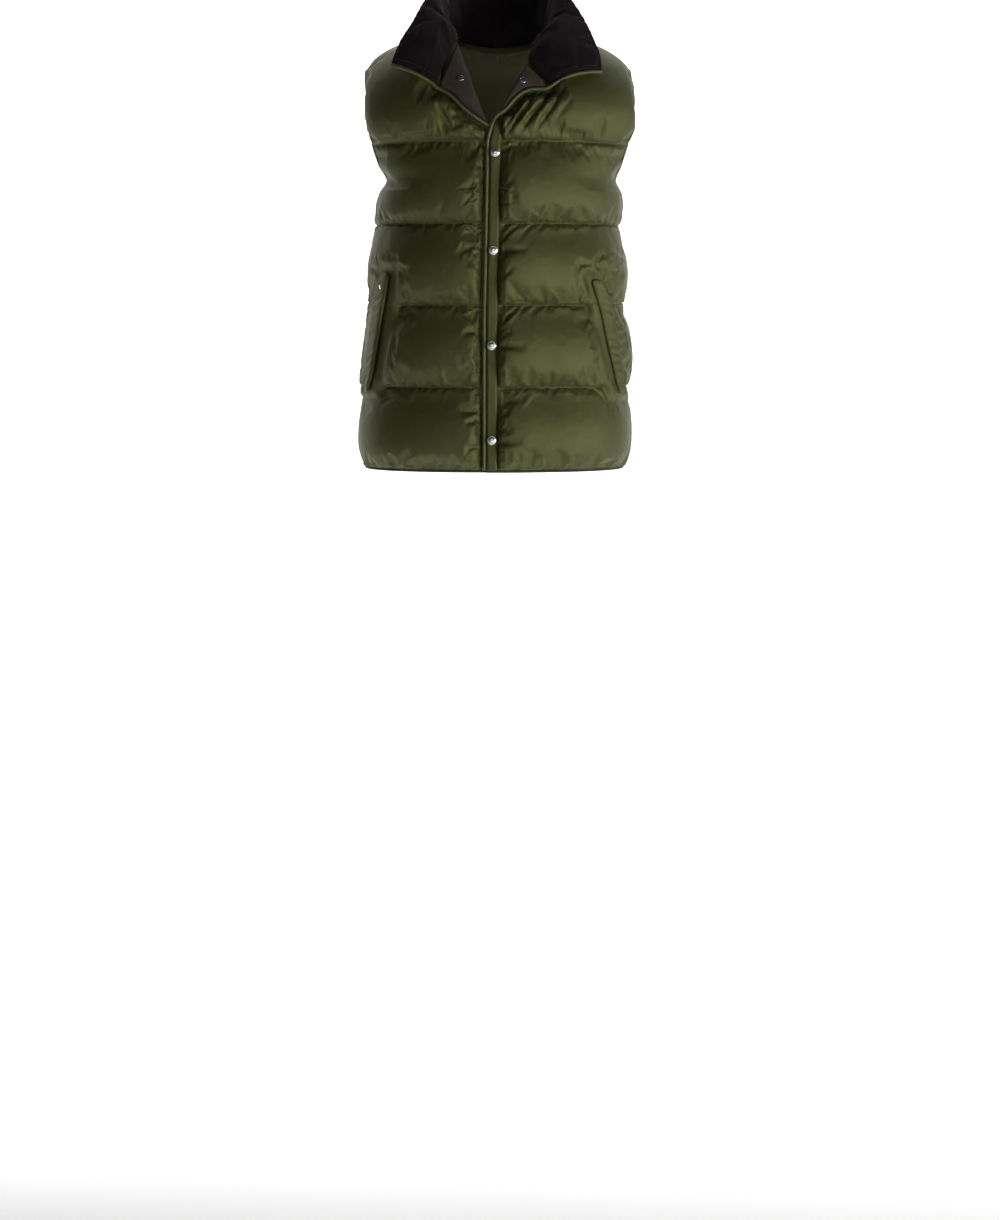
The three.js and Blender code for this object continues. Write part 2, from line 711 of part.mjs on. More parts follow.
// A point over a front by its place seen from the front, and the outward normal there
function overFront(side, x, z, lift) {
  const at = (px, pz) => {
    const point = yokePoint("front", side, px, runAt("front", px, pz));
    point.y -= lapRaise(side, "front", px, pz);
    return point;
  };
  const point = at(x, z);
  const normal = new THREE.Vector3().crossVectors(
    new THREE.Vector3().subVectors(at(x + 1, z), at(x - 1, z)),
    new THREE.Vector3().subVectors(at(x, z + 1), at(x, z - 1)),
  );
  if (normal.y > 0) normal.negate();
  normal.normalize();
  return { point: point.addScaledVector(normal, lift), normal };
}

const TURNED_ROWS = 9;
const TURNED_SHARES = [0, 0.2, 0.5, 0.8, 1];

function turnedPlace(side, rise, share) {
  const rollShare = mix(...ROLL_SPAN[side], rise);
  const rollX = read(ROLL[side], "share", "x", rollShare);
  const rollZ = read(ROLL[side], "share", "z", rollShare);
  const edgeX = read(TURNED_EDGE[side], "share", "x", rise);
  const edgeZ = read(TURNED_EDGE[side], "share", "z", rise);
  return [mix(rollX, edgeX, share), mix(rollZ, edgeZ, share)];
}

function turnedLift(rise, share) {
  const roll = 3.5 * Math.sin(Math.PI * share) * Math.sin(Math.PI * (0.15 + 0.6 * rise));
  return WALL + mix(0.9, 2, share) + roll;
}

function turnedGrid(side, extra) {
  const grid = [];
  for (let i = 0; i < TURNED_ROWS; i += 1) {
    const rise = i / (TURNED_ROWS - 1);
    grid.push(
      TURNED_SHARES.map((share) => {
        const [x, z] = turnedPlace(side, rise, share);
        return overFront(side, x, z, turnedLift(rise, share) + extra).point;
      }),
    );
  }
  return grid;
}

for (const side of ["right", "left"]) {
  addPiece(
    "front_facing_" + side,
    wallBetween(turnedGrid(side, 0), turnedGrid(side, FACING_THICK)),
    COLOURS.facing,
    0.8,
  );
}

// Collar

const collarSeam = (section) => {
  const [x, y, z] = section.seam;
  return section.over ? overFront(section.over, x, z, section.lift).point : new THREE.Vector3(x, y, z);
};
const collarRails = [
  COLLAR.map(collarSeam),
  COLLAR.map((section) => new THREE.Vector3(...section.edge)),
  COLLAR.map((section) => new THREE.Vector3(...section.arch)),
].map((points) => new THREE.CatmullRomCurve3(points, false, "catmullrom", 0.5));

function collarPoint(share, rise) {
  const [seam, edge, arch] = collarRails.map((rail) => rail.getPoint(share));
  const middle = seam.clone().add(edge).multiplyScalar(0.5).add(arch);
  return seam
    .multiplyScalar((1 - rise) ** 2)
    .addScaledVector(middle, 2 * rise * (1 - rise))
    .addScaledVector(edge, rise ** 2);
}

const collarCount = (COLLAR.length - 1) * COLLAR_STEPS;
const collarGrid = COLLAR_ROWS.map((rise) =>
  Array.from({ length: collarCount + 1 }, (_, j) => collarPoint(j / collarCount, rise)),
);
// Towards the neck, which at the open front ends is up and forward
const towardsNeck = (point) =>
  new THREE.Vector3(-point.x, -point.y - 60, Math.max(0, 60 - point.y) * 1.2);
const collarNormals = gridNormals(collarGrid, towardsNeck);
const collarPuff = (i) => Math.sin(Math.PI * COLLAR_ROWS[i]);
const collarShare = (i) => mix(COLLAR_SEAM_SHARE, 1, smooth(COLLAR_ROWS[i] / 0.3));
addPiece(
  "collar_facing",
  wallBetween(
    moved(collarGrid, collarNormals, GAP / 2),
    moved(collarGrid, collarNormals, (i) => COLLAR_THICK.facing * collarShare(i) + collarPuff(i)),
  ),
  COLOURS.collarDark,
  0.9,
);
addPiece(
  "collar_shell",
  wallBetween(
    moved(
      collarGrid,
      collarNormals,
      (i) => -COLLAR_THICK.shell * collarShare(i) - COLLAR_THICK.puff * collarPuff(i),
    ),
    moved(collarGrid, collarNormals, -GAP / 2),
  ),
  COLOURS.cloth,
);

// Piping up the front edges, round the turned-out parts and along the collar's front ends

// Path of the piping beside the left front's edge, from the hem past the break of the roll, where it
// climbs on to the turned-out part
const PIPING_CLIMB = [5.4, 3, 0.5]; // lift at the last rows
function pipingBesidePlacket() {
  const path = [];
  const normals = [];
  const lastRow = seamRowIndex - PIPING_CLIMB.length;
  for (let i = leftFront.inside.length - 1; i >= lastRow; i -= 1) {
    const inside = leftFront.inside[i][0];
    const besidePlacket = i >= seamRowIndex - 1;
    const outside = besidePlacket ? placketOutside[i - seamRowIndex + 1][0] : leftFront.outside[i][0];
    const across = inside.clone().sub(leftFront.inside[i][1]).normalize();
    const middle = inside.clone().add(outside).multiplyScalar(0.5);
    middle.addScaledVector(across, GAP * 2 + PIPING_RADIUS);
    const climb = i - lastRow < PIPING_CLIMB.length ? PIPING_CLIMB[i - lastRow] : 0;
    path.push(middle.addScaledVector(leftFront.normals[i][0], climb));
    normals.push(leftFront.normals[i][0]);
  }
  return { path, normals };
}

function pipingRoundTurned(side) {
  const path = [];
  const normals = [];
  const steps = 8;
  for (let i = 0; i <= steps; i += 1) {
    const rise = i / steps;
    const [x, z] = turnedPlace(side, rise, 1);
    const before = turnedPlace(side, Math.max(0, rise - 0.1), 1);
    const after = turnedPlace(side, Math.min(1, rise + 0.1), 1);
    const off = new THREE.Vector2(after[1] - before[1], before[0] - after[0]).normalize();
    if (off.y > 0) off.negate();
    const reach = 4 * GAP + PIPING_RADIUS;
    const lift = turnedLift(rise, 1) + FACING_THICK / 2 + 1.8;
    const { point, normal } = overFront(side, x + off.x * reach, z + off.y * reach, lift);
    path.push(point);
    normals.push(normal);
  }
  return { path, normals };
}

function pipingAlongCollar(side) {
  const column = side === "right" ? 0 : collarCount;
  const next = side === "right" ? 1 : collarCount - 1;
  const path = [];
  const normals = [];
  collarGrid.forEach((row, i) => {
    if (i === 0) return;
    const off = row[column].clone().sub(row[next]).normalize();
    path.push(row[column].clone().addScaledVector(off, GAP + PIPING_RADIUS));
    normals.push(collarNormals[i][column]);
  });
  return { path, normals };
}

for (const side of ["right", "left"]) {
  const stretches = [pipingRoundTurned(side), pipingAlongCollar(side)];
  if (side === "left") stretches.unshift(pipingBesidePlacket());
  const path = stretches.flatMap((stretch) => stretch.path);
  const normals = stretches.flatMap((stretch) => stretch.normals);
  const piping = cordAlong(path, normals, PIPING_RADIUS, PIPING_RADIUS, false);
  addPiece("edge_piping_" + side, piping, COLOURS.piping);
}

// Bindings

const midEdge = (panel, i, j) => panel.inside[i][j].clone().add(panel.outside[i][j]).multiplyScalar(0.5);

for (const side of ["right", "left"]) {
  const front = side === "left" ? leftFront : rightFront;
  const frontColumn = front.inside[0].length - 1;
  const backColumn = side === "left" ? back.inside[0].length - 1 : 0;
  const footRow = front.inside.findIndex((row, i) => i > 0 && Math.abs(row[frontColumn].y) < 2);
  const middle = new THREE.Vector3(0, 0, (ARMHOLE.top + ARMHOLE.bottom) / 2);
  const path = [];
  const normals = [];
  const addPlace = (point, normal) => {
    const inward = new THREE.Vector3(0, middle.y - point.y, middle.z - point.z);
    inward.addScaledVector(normal, -inward.dot(normal)).normalize();
    path.push(point.clone().addScaledVector(inward, GAP + BINDING_RADIUS));
    normals.push(normal);
  };
  const seamPlace = (i) => {
    const point = midEdge(front, i, frontColumn).add(midEdge(back, i, backColumn)).multiplyScalar(0.5);
    const normal = front.normals[i][frontColumn].clone().add(back.normals[i][backColumn]).normalize();
    addPlace(point, normal);
  };
  seamPlace(0);
  for (let i = 1; i < footRow; i += 1) {
    addPlace(midEdge(front, i, frontColumn), front.normals[i][frontColumn]);
  }
  seamPlace(footRow);
  for (let i = footRow - 1; i >= 1; i -= 1) {
    addPlace(midEdge(back, i, backColumn), back.normals[i][backColumn]);
  }
  addPiece(
    "armhole_binding_" + side,
    cordAlong(path, normals, BINDING_RADIUS, BINDING_RADIUS, true, 6),
    COLOURS.clothDark,
  );
}

const hemRow = leftFront.inside.length - 1;
const belowHem = new THREE.Vector3(0, 0, -GAP - BINDING_RADIUS);
const hemPlaces = [
  ...leftFront.inside[hemRow].map((_, j) => [leftFront, j]).slice(0, -1),
  ...back.inside[hemRow].map((_, j) => [back, j]).reverse(),
  ...rightFront.inside[hemRow].map((_, j) => [rightFront, j]).reverse().slice(1),
];
addPiece(
  "hem_binding",
  cordAlong(
    hemPlaces.map(([panel, j]) => midEdge(panel, hemRow, j).add(belowHem)),
    hemPlaces.map(([panel, j]) => panel.normals[hemRow][j]),
    BINDING_RADIUS,
    BINDING_RADIUS,
    false,
    6,
  ),
  COLOURS.binding,
);

// Pocket welts

function weltPlace(side, z, off, lift) {
  const x = read(POCKETS[side], "z", "x", z);
  const turn = turnAt("front", side, x, z);
  const at = (t, pz) => bodyPoint("front", side, t, pz);
  const step = 0.01;
  const across = at(turn + step, z).sub(at(turn - step, z));
  const place = turn + (off * 2 * step) / across.length();
  const normal = new THREE.Vector3().crossVectors(
    at(place + step, z).sub(at(place - step, z)),
    at(place, z + 1).sub(at(place, z - 1)),
  );
  if (normal.y > 0) normal.negate();
  normal.normalize();
  return { point: at(place, z).addScaledVector(normal, lift), normal };
}

const WELT_ROWS = 14;
const WELT_SHARES = [-0.5, -0.2, 0.2, 0.5];

for (const side of ["right", "left"]) {
  const pocket = POCKETS[side];
  const top = pocket[0].z;
  const foot = pocket[pocket.length - 1].z;
  const grid = (lift) =>
    Array.from({ length: WELT_ROWS }, (_, i) => {
      const z = mix(top, foot, i / (WELT_ROWS - 1));
      const wide = read(pocket, "z", "wide", z);
      return WELT_SHARES.map((share) => weltPlace(side, z, share * wide, lift).point);
    });
  const under = WALL + POCKET_LOFT + 2 * GAP;
  addPiece("pocket_welt_" + side, wallBetween(grid(under), grid(under + WELT_THICK)), COLOURS.clothDark);
}

// Snaps: a domed cap with a rolled rim

function snapGeometry(radius, height) {
  const profile = [
    [0, 0],
    [radius * 0.94, 0],
    [radius, height * 0.3],
    [radius * 0.93, height * 0.62],
    [radius * 0.72, height * 0.8],
    [radius * 0.4, height * 0.95],
    [0, height],
  ];
  return new THREE.LatheGeometry(
    profile.map(([x, y]) => new THREE.Vector2(x, y)),
    20,
  );
}

function addSnap(name, radius, height, place, normal) {
  const snap = addPiece(name, snapGeometry(radius, height), COLOURS.metal, 0.3, 1);
  snap.position.copy(place);
  snap.quaternion.setFromUnitVectors(new THREE.Vector3(0, 1, 0), normal);
}

const overPlacket = WALL + GAP + PLACKET_THICK + 1.2 + 2 * GAP;
SNAP_HEIGHTS.forEach((z, i) => {
  const { point, normal } = overFront("left", read(PLACKET, "z", "x", z), z, overPlacket);
  addSnap("front_snap_" + (i + 1), SNAP_RADIUS, 3.4, point, normal);
});

// Small snaps on the turned-out parts and on the collar's left end
const overTurned = (side, rise, share) => {
  const [x, z] = turnedPlace(side, rise, share);
  return overFront(side, x, z, turnedLift(rise, share) + FACING_THICK + 2 * GAP);
};
const rightSnap = overTurned("right", 0.72, 0.45);
addSnap("facing_snap_right", 4.6, 1.8, rightSnap.point, rightSnap.normal);
const leftSnap = overTurned("left", 0.72, 0.5);
addSnap("facing_snap_left", 4.6, 1.8, leftSnap.point, leftSnap.normal);

const weltSnap = weltPlace(
  "right",
  POCKET_SNAP.z,
  0,
  WALL + POCKET_LOFT + WELT_THICK + 4 * GAP,
);
addSnap("pocket_snap_right", POCKET_SNAP.radius, 1.8, weltSnap.point, weltSnap.normal);

export default vest;
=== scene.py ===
"""Looks of a slim quilted vest, worn with the front snapped and the collar lying open."""
import math
import random

import bpy
import numpy as np
from mathutils.kdtree import KDTree
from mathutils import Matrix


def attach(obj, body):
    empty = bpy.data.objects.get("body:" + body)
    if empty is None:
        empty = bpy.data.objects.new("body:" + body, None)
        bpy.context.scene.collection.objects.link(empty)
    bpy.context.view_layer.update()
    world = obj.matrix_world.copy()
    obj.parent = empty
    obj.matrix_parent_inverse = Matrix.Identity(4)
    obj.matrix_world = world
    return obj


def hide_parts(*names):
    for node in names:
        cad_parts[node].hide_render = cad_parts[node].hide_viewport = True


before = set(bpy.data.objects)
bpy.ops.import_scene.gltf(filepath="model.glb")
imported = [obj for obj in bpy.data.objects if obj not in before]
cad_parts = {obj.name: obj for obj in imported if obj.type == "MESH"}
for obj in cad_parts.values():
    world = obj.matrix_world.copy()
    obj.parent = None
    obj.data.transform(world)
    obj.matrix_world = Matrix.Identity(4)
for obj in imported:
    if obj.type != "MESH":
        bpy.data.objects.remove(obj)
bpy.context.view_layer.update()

# Quilted fronts and back
# Satin nylon over down, quilted in level channels that are fullest low down and turn under sharply at
# the seams. The left front laps over the right one, and the open neck pulls gathers into its yoke.
# Millimetres, with x to the wearer's left, y to the back, z up. All panels are cut to one body form:
# level sections as rounded boxes, shoulders as domes, armholes as eggs.
MM = 0.001
HEM_Z = -625
SECTION_POWER = 2.4
WALL = 2.2
GAP = 0.3
SHOULDER_RADIUS = {"front": 115, "back": 105}
SHOULDER_RUN = 180
ARMHOLE = {"top": -41, "bottom": -222, "front": 66, "back": 84}
ARMHOLE_MIDDLE = (ARMHOLE["top"] + ARMHOLE["bottom"]) / 2
ARMHOLE_HALF = (ARMHOLE["top"] - ARMHOLE["bottom"]) / 2
ARMHOLE_EDGE_TOP = ARMHOLE["top"] - 19
WAIST_BLEND = 40
SIDES = {
    "z": [-625, -505, -389, -274, -222],
    "right": [197, 196, 184, 179, 166],
    "left": [186, 189, 184, 177, 174],
}
ARMHOLE_EDGE = {
    "z": [-222, -201, -174, -151, -121, -76, -41],
    "right": [166, 165, 174, 181, 187, 191, 194],
    "left": [174, 173, 180, 187, 195, 196, 193],
}
DEPTHS = {
    "z": [-625, -505, -389, -300, -222, -151, -100, -40, 20],
    "front": [129, 127, 127, 130, 132, 130, 126, 122, 120],
    "back": [127, 121, 117, 123, 130, 132, 127, 118, 112],
}
SHOULDER = {
    "x": [0, 75, 111, 145, 170, 187, 198],
    "z": [12, 9, 3, -5, -17, -31, -45],
}
PLACKET = {
    "z": [-625, -440, -300, -146, -100],
    "x": [-9, -9, -6.5, -4, -4],
}
PLACKET_HALF = 8
UNDERLAP = 20
LAP_RAISE = 5.5
LAP_FADE = {"across": 70, "up": 26}
LAP_TOP = -104
OPEN_NECK_Z = -146


def read(table, key, column, at):
    """Smooth value of one column of a table at places of its key column."""
    order = np.argsort(table[key])
    xs = np.array(table[key], float)[order]
    ys = np.array(table[column], float)[order]
    slopes = np.diff(ys) / np.diff(xs)
    before, after = slopes[:-1], slopes[1:]
    turning = before * after <= 0
    total = np.where(turning, 1, before + after)
    inner = np.where(turning, 0, 2 * before * after / total)
    tangents = np.concatenate([slopes[:1], inner, slopes[-1:]])
    at = np.asarray(at, float)
    i = np.clip(np.searchsorted(xs, at) - 1, 0, len(xs) - 2)
    width = xs[i + 1] - xs[i]
    t = np.clip((at - xs[i]) / width, 0, 1)
    value = (
        ys[i] * (1 + 2 * t) * (1 - t) ** 2
        + tangents[i] * width * t * (1 - t) ** 2
        + ys[i + 1] * t * t * (3 - 2 * t)
        - tangents[i + 1] * width * t * t * (1 - t)
    )
    below = np.minimum(0, at - xs[0]) * slopes[0]
    above = np.maximum(0, at - xs[-1]) * slopes[-1]
    return value + below + above


def mix(a, b, share):
    return a + (b - a) * share


def smooth(value):
    value = np.clip(value, 0, 1)
    return value * value * (3 - 2 * value)


def sign_of(side):
    return 1 if side == "left" else -1


def unit(vectors):
    return vectors / np.linalg.norm(vectors, axis=-1, keepdims=True)


def way_along(points):
    """Way along a line of points, from its first one to each."""
    steps = np.linalg.norm(np.diff(points, axis=0), axis=1)
    return np.concatenate([[0], np.cumsum(steps)])


def at_ways(places, way, values):
    """Values of a line of points at given ways along it."""
    return np.stack([np.interp(places, way, values[:, k]) for k in range(values.shape[1])], axis=-1)


def dome_share(face, x, z):
    """Share of the full depth that the round of the shoulder leaves."""
    drop = read(SHOULDER, "x", "z", np.abs(x)) - z
    share = np.clip(drop / SHOULDER_RADIUS[face], 0, 1)
    return np.sqrt(1 - (1 - share) ** 2)


def armhole_reach(face, z):
    return ARMHOLE[face] * np.sqrt(np.maximum(0, 1 - ((z - ARMHOLE_MIDDLE) / ARMHOLE_HALF) ** 2))


def half_width(face, side, z):
    z = np.asarray(z, float)
    level = np.clip(z, ARMHOLE["bottom"], ARMHOLE_EDGE_TOP)
    edge = read(ARMHOLE_EDGE, "z", side, level)
    depth = read(DEPTHS, "z", face, level) * dome_share(face, edge, level)
    rest = 1 - (armhole_reach(face, level) / depth) ** SECTION_POWER
    upper = edge / rest ** (1 / SECTION_POWER)
    return mix(read(SIDES, "z", side, z), upper, smooth((z - ARMHOLE["bottom"]) / WAIST_BLEND))


def body_point(face, side, turn, z):
    """Points of the body by their turn round the section and their height."""
    power = 2 / SECTION_POWER
    turn, z = np.broadcast_arrays(np.asarray(turn, float), np.asarray(z, float))
    x = sign_of(side) * half_width(face, side, z) * np.sign(turn) * np.abs(np.sin(turn)) ** power
    depth = read(DEPTHS, "z", face, z) * np.maximum(0, np.cos(turn)) ** power * dome_share(face, x, z)
    return np.stack([x, -depth if face == "front" else depth, z], axis=-1)


def turn_at(face, side, x, z):
    share = sign_of(side) * x / half_width(face, side, z)
    return np.sign(share) * np.arcsin(np.minimum(1, np.abs(share)) ** (SECTION_POWER / 2))


def run_at(face, x, z):
    """Way down from the shoulder line to a place."""
    drop = read(SHOULDER, "x", "z", np.abs(x)) - z
    radius = SHOULDER_RADIUS[face]
    dome = SHOULDER_RUN * np.arccos(np.clip(1 - drop / radius, 0, 1)) / (math.pi / 2)
    return np.where(drop >= radius, SHOULDER_RUN + drop - radius, dome)


def yoke_point(face, side, x, run):
    ridge = read(SHOULDER, "x", "z", np.abs(x))
    turn = np.minimum(run, SHOULDER_RUN) / SHOULDER_RUN * math.pi / 2
    z = ridge - SHOULDER_RADIUS[face] * (1 - np.cos(turn)) - np.maximum(0, run - SHOULDER_RUN)
    across = np.minimum(1, np.abs(x) / half_width(face, side, z))
    depth = read(DEPTHS, "z", face, z) * (1 - across**SECTION_POWER) ** (1 / SECTION_POWER)
    y = depth * np.sin(turn)
    return np.stack([x + 0 * y, -y if face == "front" else y, z], axis=-1)


def lap_raise(side, face, x, z):
    """Room under the left front where it passes over the right one."""
    if face == "back" or side == "right":
        return 0 * x
    middle = read(PLACKET, "z", "x", np.clip(z, HEM_Z, OPEN_NECK_Z))
    away = 1 - smooth((x - middle - UNDERLAP - 3) / LAP_FADE["across"])
    return LAP_RAISE * away * smooth((LAP_TOP - z) / LAP_FADE["up"])


SEAMS = {
    "front": [-146, -265, -384, -504, HEM_Z],
    "back": [-150, -269, -386, -504, HEM_Z],
    "side": [-155, -269, -382, -505, HEM_Z],
}
LOFT = {"front": 16, "back": 15, "yoke": 15, "side": 8}
LOFT_LOW = {"channel": 1.6, "yoke": 2.3}
LOFT_ROUND = {"top": 0.8, "foot": 0.5}
EDGE_PAD = 28
PLACKET_PAD = 13
SIDE_PAD = 0.55
SIDE_REACH = 120
CLEAR_EDGE = {"left": 2 * PLACKET_HALF + 1, "right": UNDERLAP + 17}
CHANNEL_ROWS = 28
YOKE_ROWS = 32
# How much rows crowd towards the seams, from 0, even, to 1
CHANNEL_CROWD = 0.45
YOKE_CROWD = 0.25
# Rows of the first channel lie closer at the armhole's foot, which keeps it round
FOOT_SHARE = 0.6
ROUND_FOOT = 0.085
COLUMNS = {"front": 80, "back": 56}
ROW_SAMPLES = 240
NECK_BACK = {"share": [0, 0.35, 0.7, 1], "x": [0, 42, 68, 77], "y": [68, 59, 33, 0]}
NECK_FRONT = {"share": [0, 0.5, 1], "x": [60, 71, 77], "y": [-56, -29, 0]}
NECK_SHARE = 0.36
ROLL = {
    "right": {
        "share": [0, 0.12, 0.24, 0.42, 0.62, 0.82, 1],
        "x": [16, 3, -14, -26, -37, -48, -60],
        "z": [-146, -134, -121, -95, -66, -37, -3],
    },
    "left": {
        "share": [0, 0.2, 0.4, 0.62, 0.82, 1],
        "x": [-12, -5, 5, 21, 42, 60],
        "z": [-146, -122, -101, -68, -36, -3],
    },
}
TURNED_EDGE = {
    "right": {
        "share": [0, 0.3, 0.6, 0.8, 1],
        "x": [-20, -36, -55, -68, -84],
        "z": [-117, -106, -90, -77, -71],
    },
    "left": {
        "share": [0, 0.3, 0.6, 0.8, 1],
        "x": [8, 22, 36, 50, 71],
        "z": [-101, -85, -74, -70, -71],
    },
}
# Folds: from x, z to x, z as the front view shows them, width, height; below nothing is a trough
FOLDS = {
    "left": [
        (84, -78, 42, -134, 13, 3.5),
        (64, -82, 19, -138, 12, 4.0),
        (44, -88, 6, -136, 10, 3.5),
        (36, -268, 10, -290, 6, 2.6),
        (28, -266, 6, -280, 4, 2.0),
        (46, -268, 24, -296, 6, -1.6),
        (33, -388, 7, -416, 6, 2.8),
        (24, -386, 5, -400, 4, 2.0),
        (53, -508, 31, -535, 6, 2.4),
        (40, -507, 25, -522, 4, -1.6),
        (2, -305, 42, -303, 8, -5.0),
        (2, -443, 38, -446, 8, -5.0),
        (2, -584, 34, -582, 8, -4.5),
        (4, -160, 34, -149, 7, -3.5),
        (112, -333, 128, -330, 7, 3.5),
        (118, -340, 132, -352, 5, -3.0),
        (140, -316, 172, -338, 6, 3.0),
        (132, -324, 164, -352, 5, -3.0),
        (150, -304, 178, -322, 6, 2.2),
        (150, -506, 180, -528, 6, 3.0),
        (140, -508, 158, -532, 6, -2.4),
        (66, -270, 60, -286, 7, 1.6),
        (96, -386, 88, -404, 7, -1.6),
        (118, -508, 112, -526, 7, 1.6),
    ],
    "right": [
        (-88, -84, -58, -124, 10, 3.0),
        (-102, -86, -76, -128, 8, -1.8),
        (-30, -500, -50, -503, 6, -3.0),
        (-29, -538, -52, -541, 7, -3.5),
        (-29, -550, -48, -556, 5, -2.6),
        (-30, -590, -46, -592, 6, -3.0),
        (-32, -420, -48, -424, 6, -2.0),
        (-31, -300, -50, -303, 7, -2.4),
        (-137, -318, -119, -326, 8, 4.0),
        (-144, -324, -128, -342, 6, -3.4),
        (-62, -388, -70, -404, 7, -1.8),
        (-84, -386, -90, -402, 7, 1.6),
        (-112, -268, -120, -286, 8, 1.8),
        (-60, -268, -66, -282, 7, -1.5),
        (-120, -508, -128, -528, 8, 1.8),
        (-150, -512, -172, -530, 7, 2.6),
    ],
}
# Sharp gathers that the open neck pulls in from the first snap, given as the folds are
GATHERS = [
    (97, -70, 50, -138, 7.0, -4.4),
    (77, -76, 27, -139, 6.5, -5.4),
    (54, -80, 7, -144, 6.0, -5.6),
    (36, -86, 4, -139, 5.5, -5.0),
    (23, -98, 2, -122, 5.0, -3.2),
    (108, -84, 78, -124, 8.0, -1.8),
]
POCKET_LOFT = 8
# Way from the welt to where the loft starts to rise again, and over which it rises
POCKET_FADE = {"beside": (3, 10), "beyond": (2, 14)}
TURNED_FADE = (11, 15)
POCKETS = {
    "left": {
        "z": [-347, -392, -440, -484, -514],
        "x": [137, 151, 160, 168, 172],
        "wide": [17, 21, 20, 16, 10],
    },
    "right": {
        "z": [-337, -385, -430, -480, -512],
        "x": [-157, -166, -173, -180, -184],
        "wide": [20, 27, 28, 24, 13],
    },
}
PUCKER_SPACING = 11
PUCKER_LENGTH = 17
PUCKER_HIGH = 1.5


def seam_height(index, face, turn):
    share = np.minimum(1, np.abs(turn) / (math.pi / 2)) ** 2
    return mix(SEAMS[face][index], SEAMS["side"][index], share)


def row_start(face, side, z):
    if face == "back":
        return 0.0
    middle = float(read(PLACKET, "z", "x", z))
    return middle - PLACKET_HALF if side == "left" else middle + UNDERLAP


def body_row(face, side, channel, share):
    """One row of a half panel at even steps: turns, heights and ways from both ends."""

    def height_at(turn):
        return mix(seam_height(channel, face, turn), seam_height(channel + 1, face, turn), share)

    start_z = float(height_at(0))
    first = float(turn_at(face, side, row_start(face, side, start_z), start_z))
    last = math.pi / 2
    edge_z = float(height_at(last))
    if edge_z > ARMHOLE["bottom"] + 0.5:
        x = read(ARMHOLE_EDGE, "z", side, edge_z)
        depth = read(DEPTHS, "z", face, edge_z) * dome_share(face, x, edge_z)
        last = float(np.arccos((armhole_reach(face, edge_z) / depth) ** (SECTION_POWER / 2)))
    turns = np.linspace(first, last, ROW_SAMPLES)
    lengths = way_along(body_point(face, side, turns, height_at(turns)))
    places = np.linspace(0, lengths[-1], COLUMNS[face] + 1)
    turn = np.interp(places, lengths, turns)
    return turn, height_at(turn), places, lengths[-1] - places


def channel_arch(share, low=LOFT_LOW["channel"]):
    share = np.clip(share, 0, 1)
    power = mix(LOFT_ROUND["top"], LOFT_ROUND["foot"], smooth(share * 1.6))
    return np.sin(math.pi * share**low) ** power


def beside_edge(distance, reach):
    return np.sqrt(1 - (1 - np.clip(distance / reach, 0, 1)) ** 2)


def fold_height(folds, x, z, skew=0.6, power=0.9):
    total = np.zeros_like(x)
    for x0, z0, x1, z1, wide, high in folds:
        along = np.array([x1 - x0, z1 - z0])
        length = np.hypot(*along)
        share = ((x - x0) * along[0] + (z - z0) * along[1]) / length**2
        off = ((x - x0) * along[1] - (z - z0) * along[0]) / length
        taper = np.sin(math.pi * np.clip(share, 0, 1) ** skew) ** power
        total += high * taper * np.exp(-((off / (wide * 0.5)) ** 2))
    return total


def pocket_share(side, x, z):
    pocket = POCKETS[side]
    top, foot = pocket["z"][0], pocket["z"][-1]
    level = np.clip(z, foot, top)
    off = np.abs(x - read(pocket, "z", "x", level))
    half = read(pocket, "z", "wide", level) / 2
    beyond = np.maximum(0, np.maximum(z - top, foot - z))
    bare, fade = POCKET_FADE["beside"]
    beside = 1 - smooth((off - half - bare) / fade)
    bare, fade = POCKET_FADE["beyond"]
    return beside * (1 - smooth((beyond - bare) / fade))


def turned_clear(side, x, z):
    """Nothing is raised under the turned-out part of a front, and little beside it."""
    edge = TURNED_EDGE[side]
    nearest = np.full(x.shape, np.inf)
    for share in np.linspace(0, 1, 41):
        edge_x = read(edge, "share", "x", share)
        edge_z = read(edge, "share", "z", share)
        nearest = np.minimum(nearest, np.hypot(x - edge_x, z - edge_z))
    top_z = max(edge["z"])
    level = np.clip(z, edge["z"][0], edge["z"][-2])
    level_x = np.interp(level, edge["z"][:-1], edge["x"][:-1])
    s = sign_of(side)
    inside = (s * (x - level_x) < 0) | ((z > top_z) & (s * x < 84))
    bare, fade = TURNED_FADE
    return np.where(inside, 0, beside_edge(nearest - bare, fade))


def puckers(length_along, below_seam, channel_height, draw):
    """Short tucks where the filled cloth is eased into the two seams of a channel."""
    total = np.zeros_like(below_seam)
    for at_foot in (False, True):
        way = channel_height - below_seam if at_foot else below_seam
        place = draw.uniform(0, PUCKER_SPACING)
        while place < length_along.max():
            wide = draw.uniform(2.4, 4.6)
            reach = PUCKER_LENGTH * draw.uniform(0.5, 1.6)
            high = PUCKER_HIGH * draw.uniform(0.25, 1.2) * draw.choice([-1, -1, 1])
            slant = draw.uniform(-0.45, 0.45)
            off = length_along - place - slant * way
            spread = wide * (1 + way / reach)
            share = np.clip(way / reach, 0, 1.6)
            total += high * np.exp(-((off / spread) ** 2)) * share * np.exp(1 - 2.2 * share)
            place += PUCKER_SPACING * draw.uniform(0.45, 1.7)
    return total


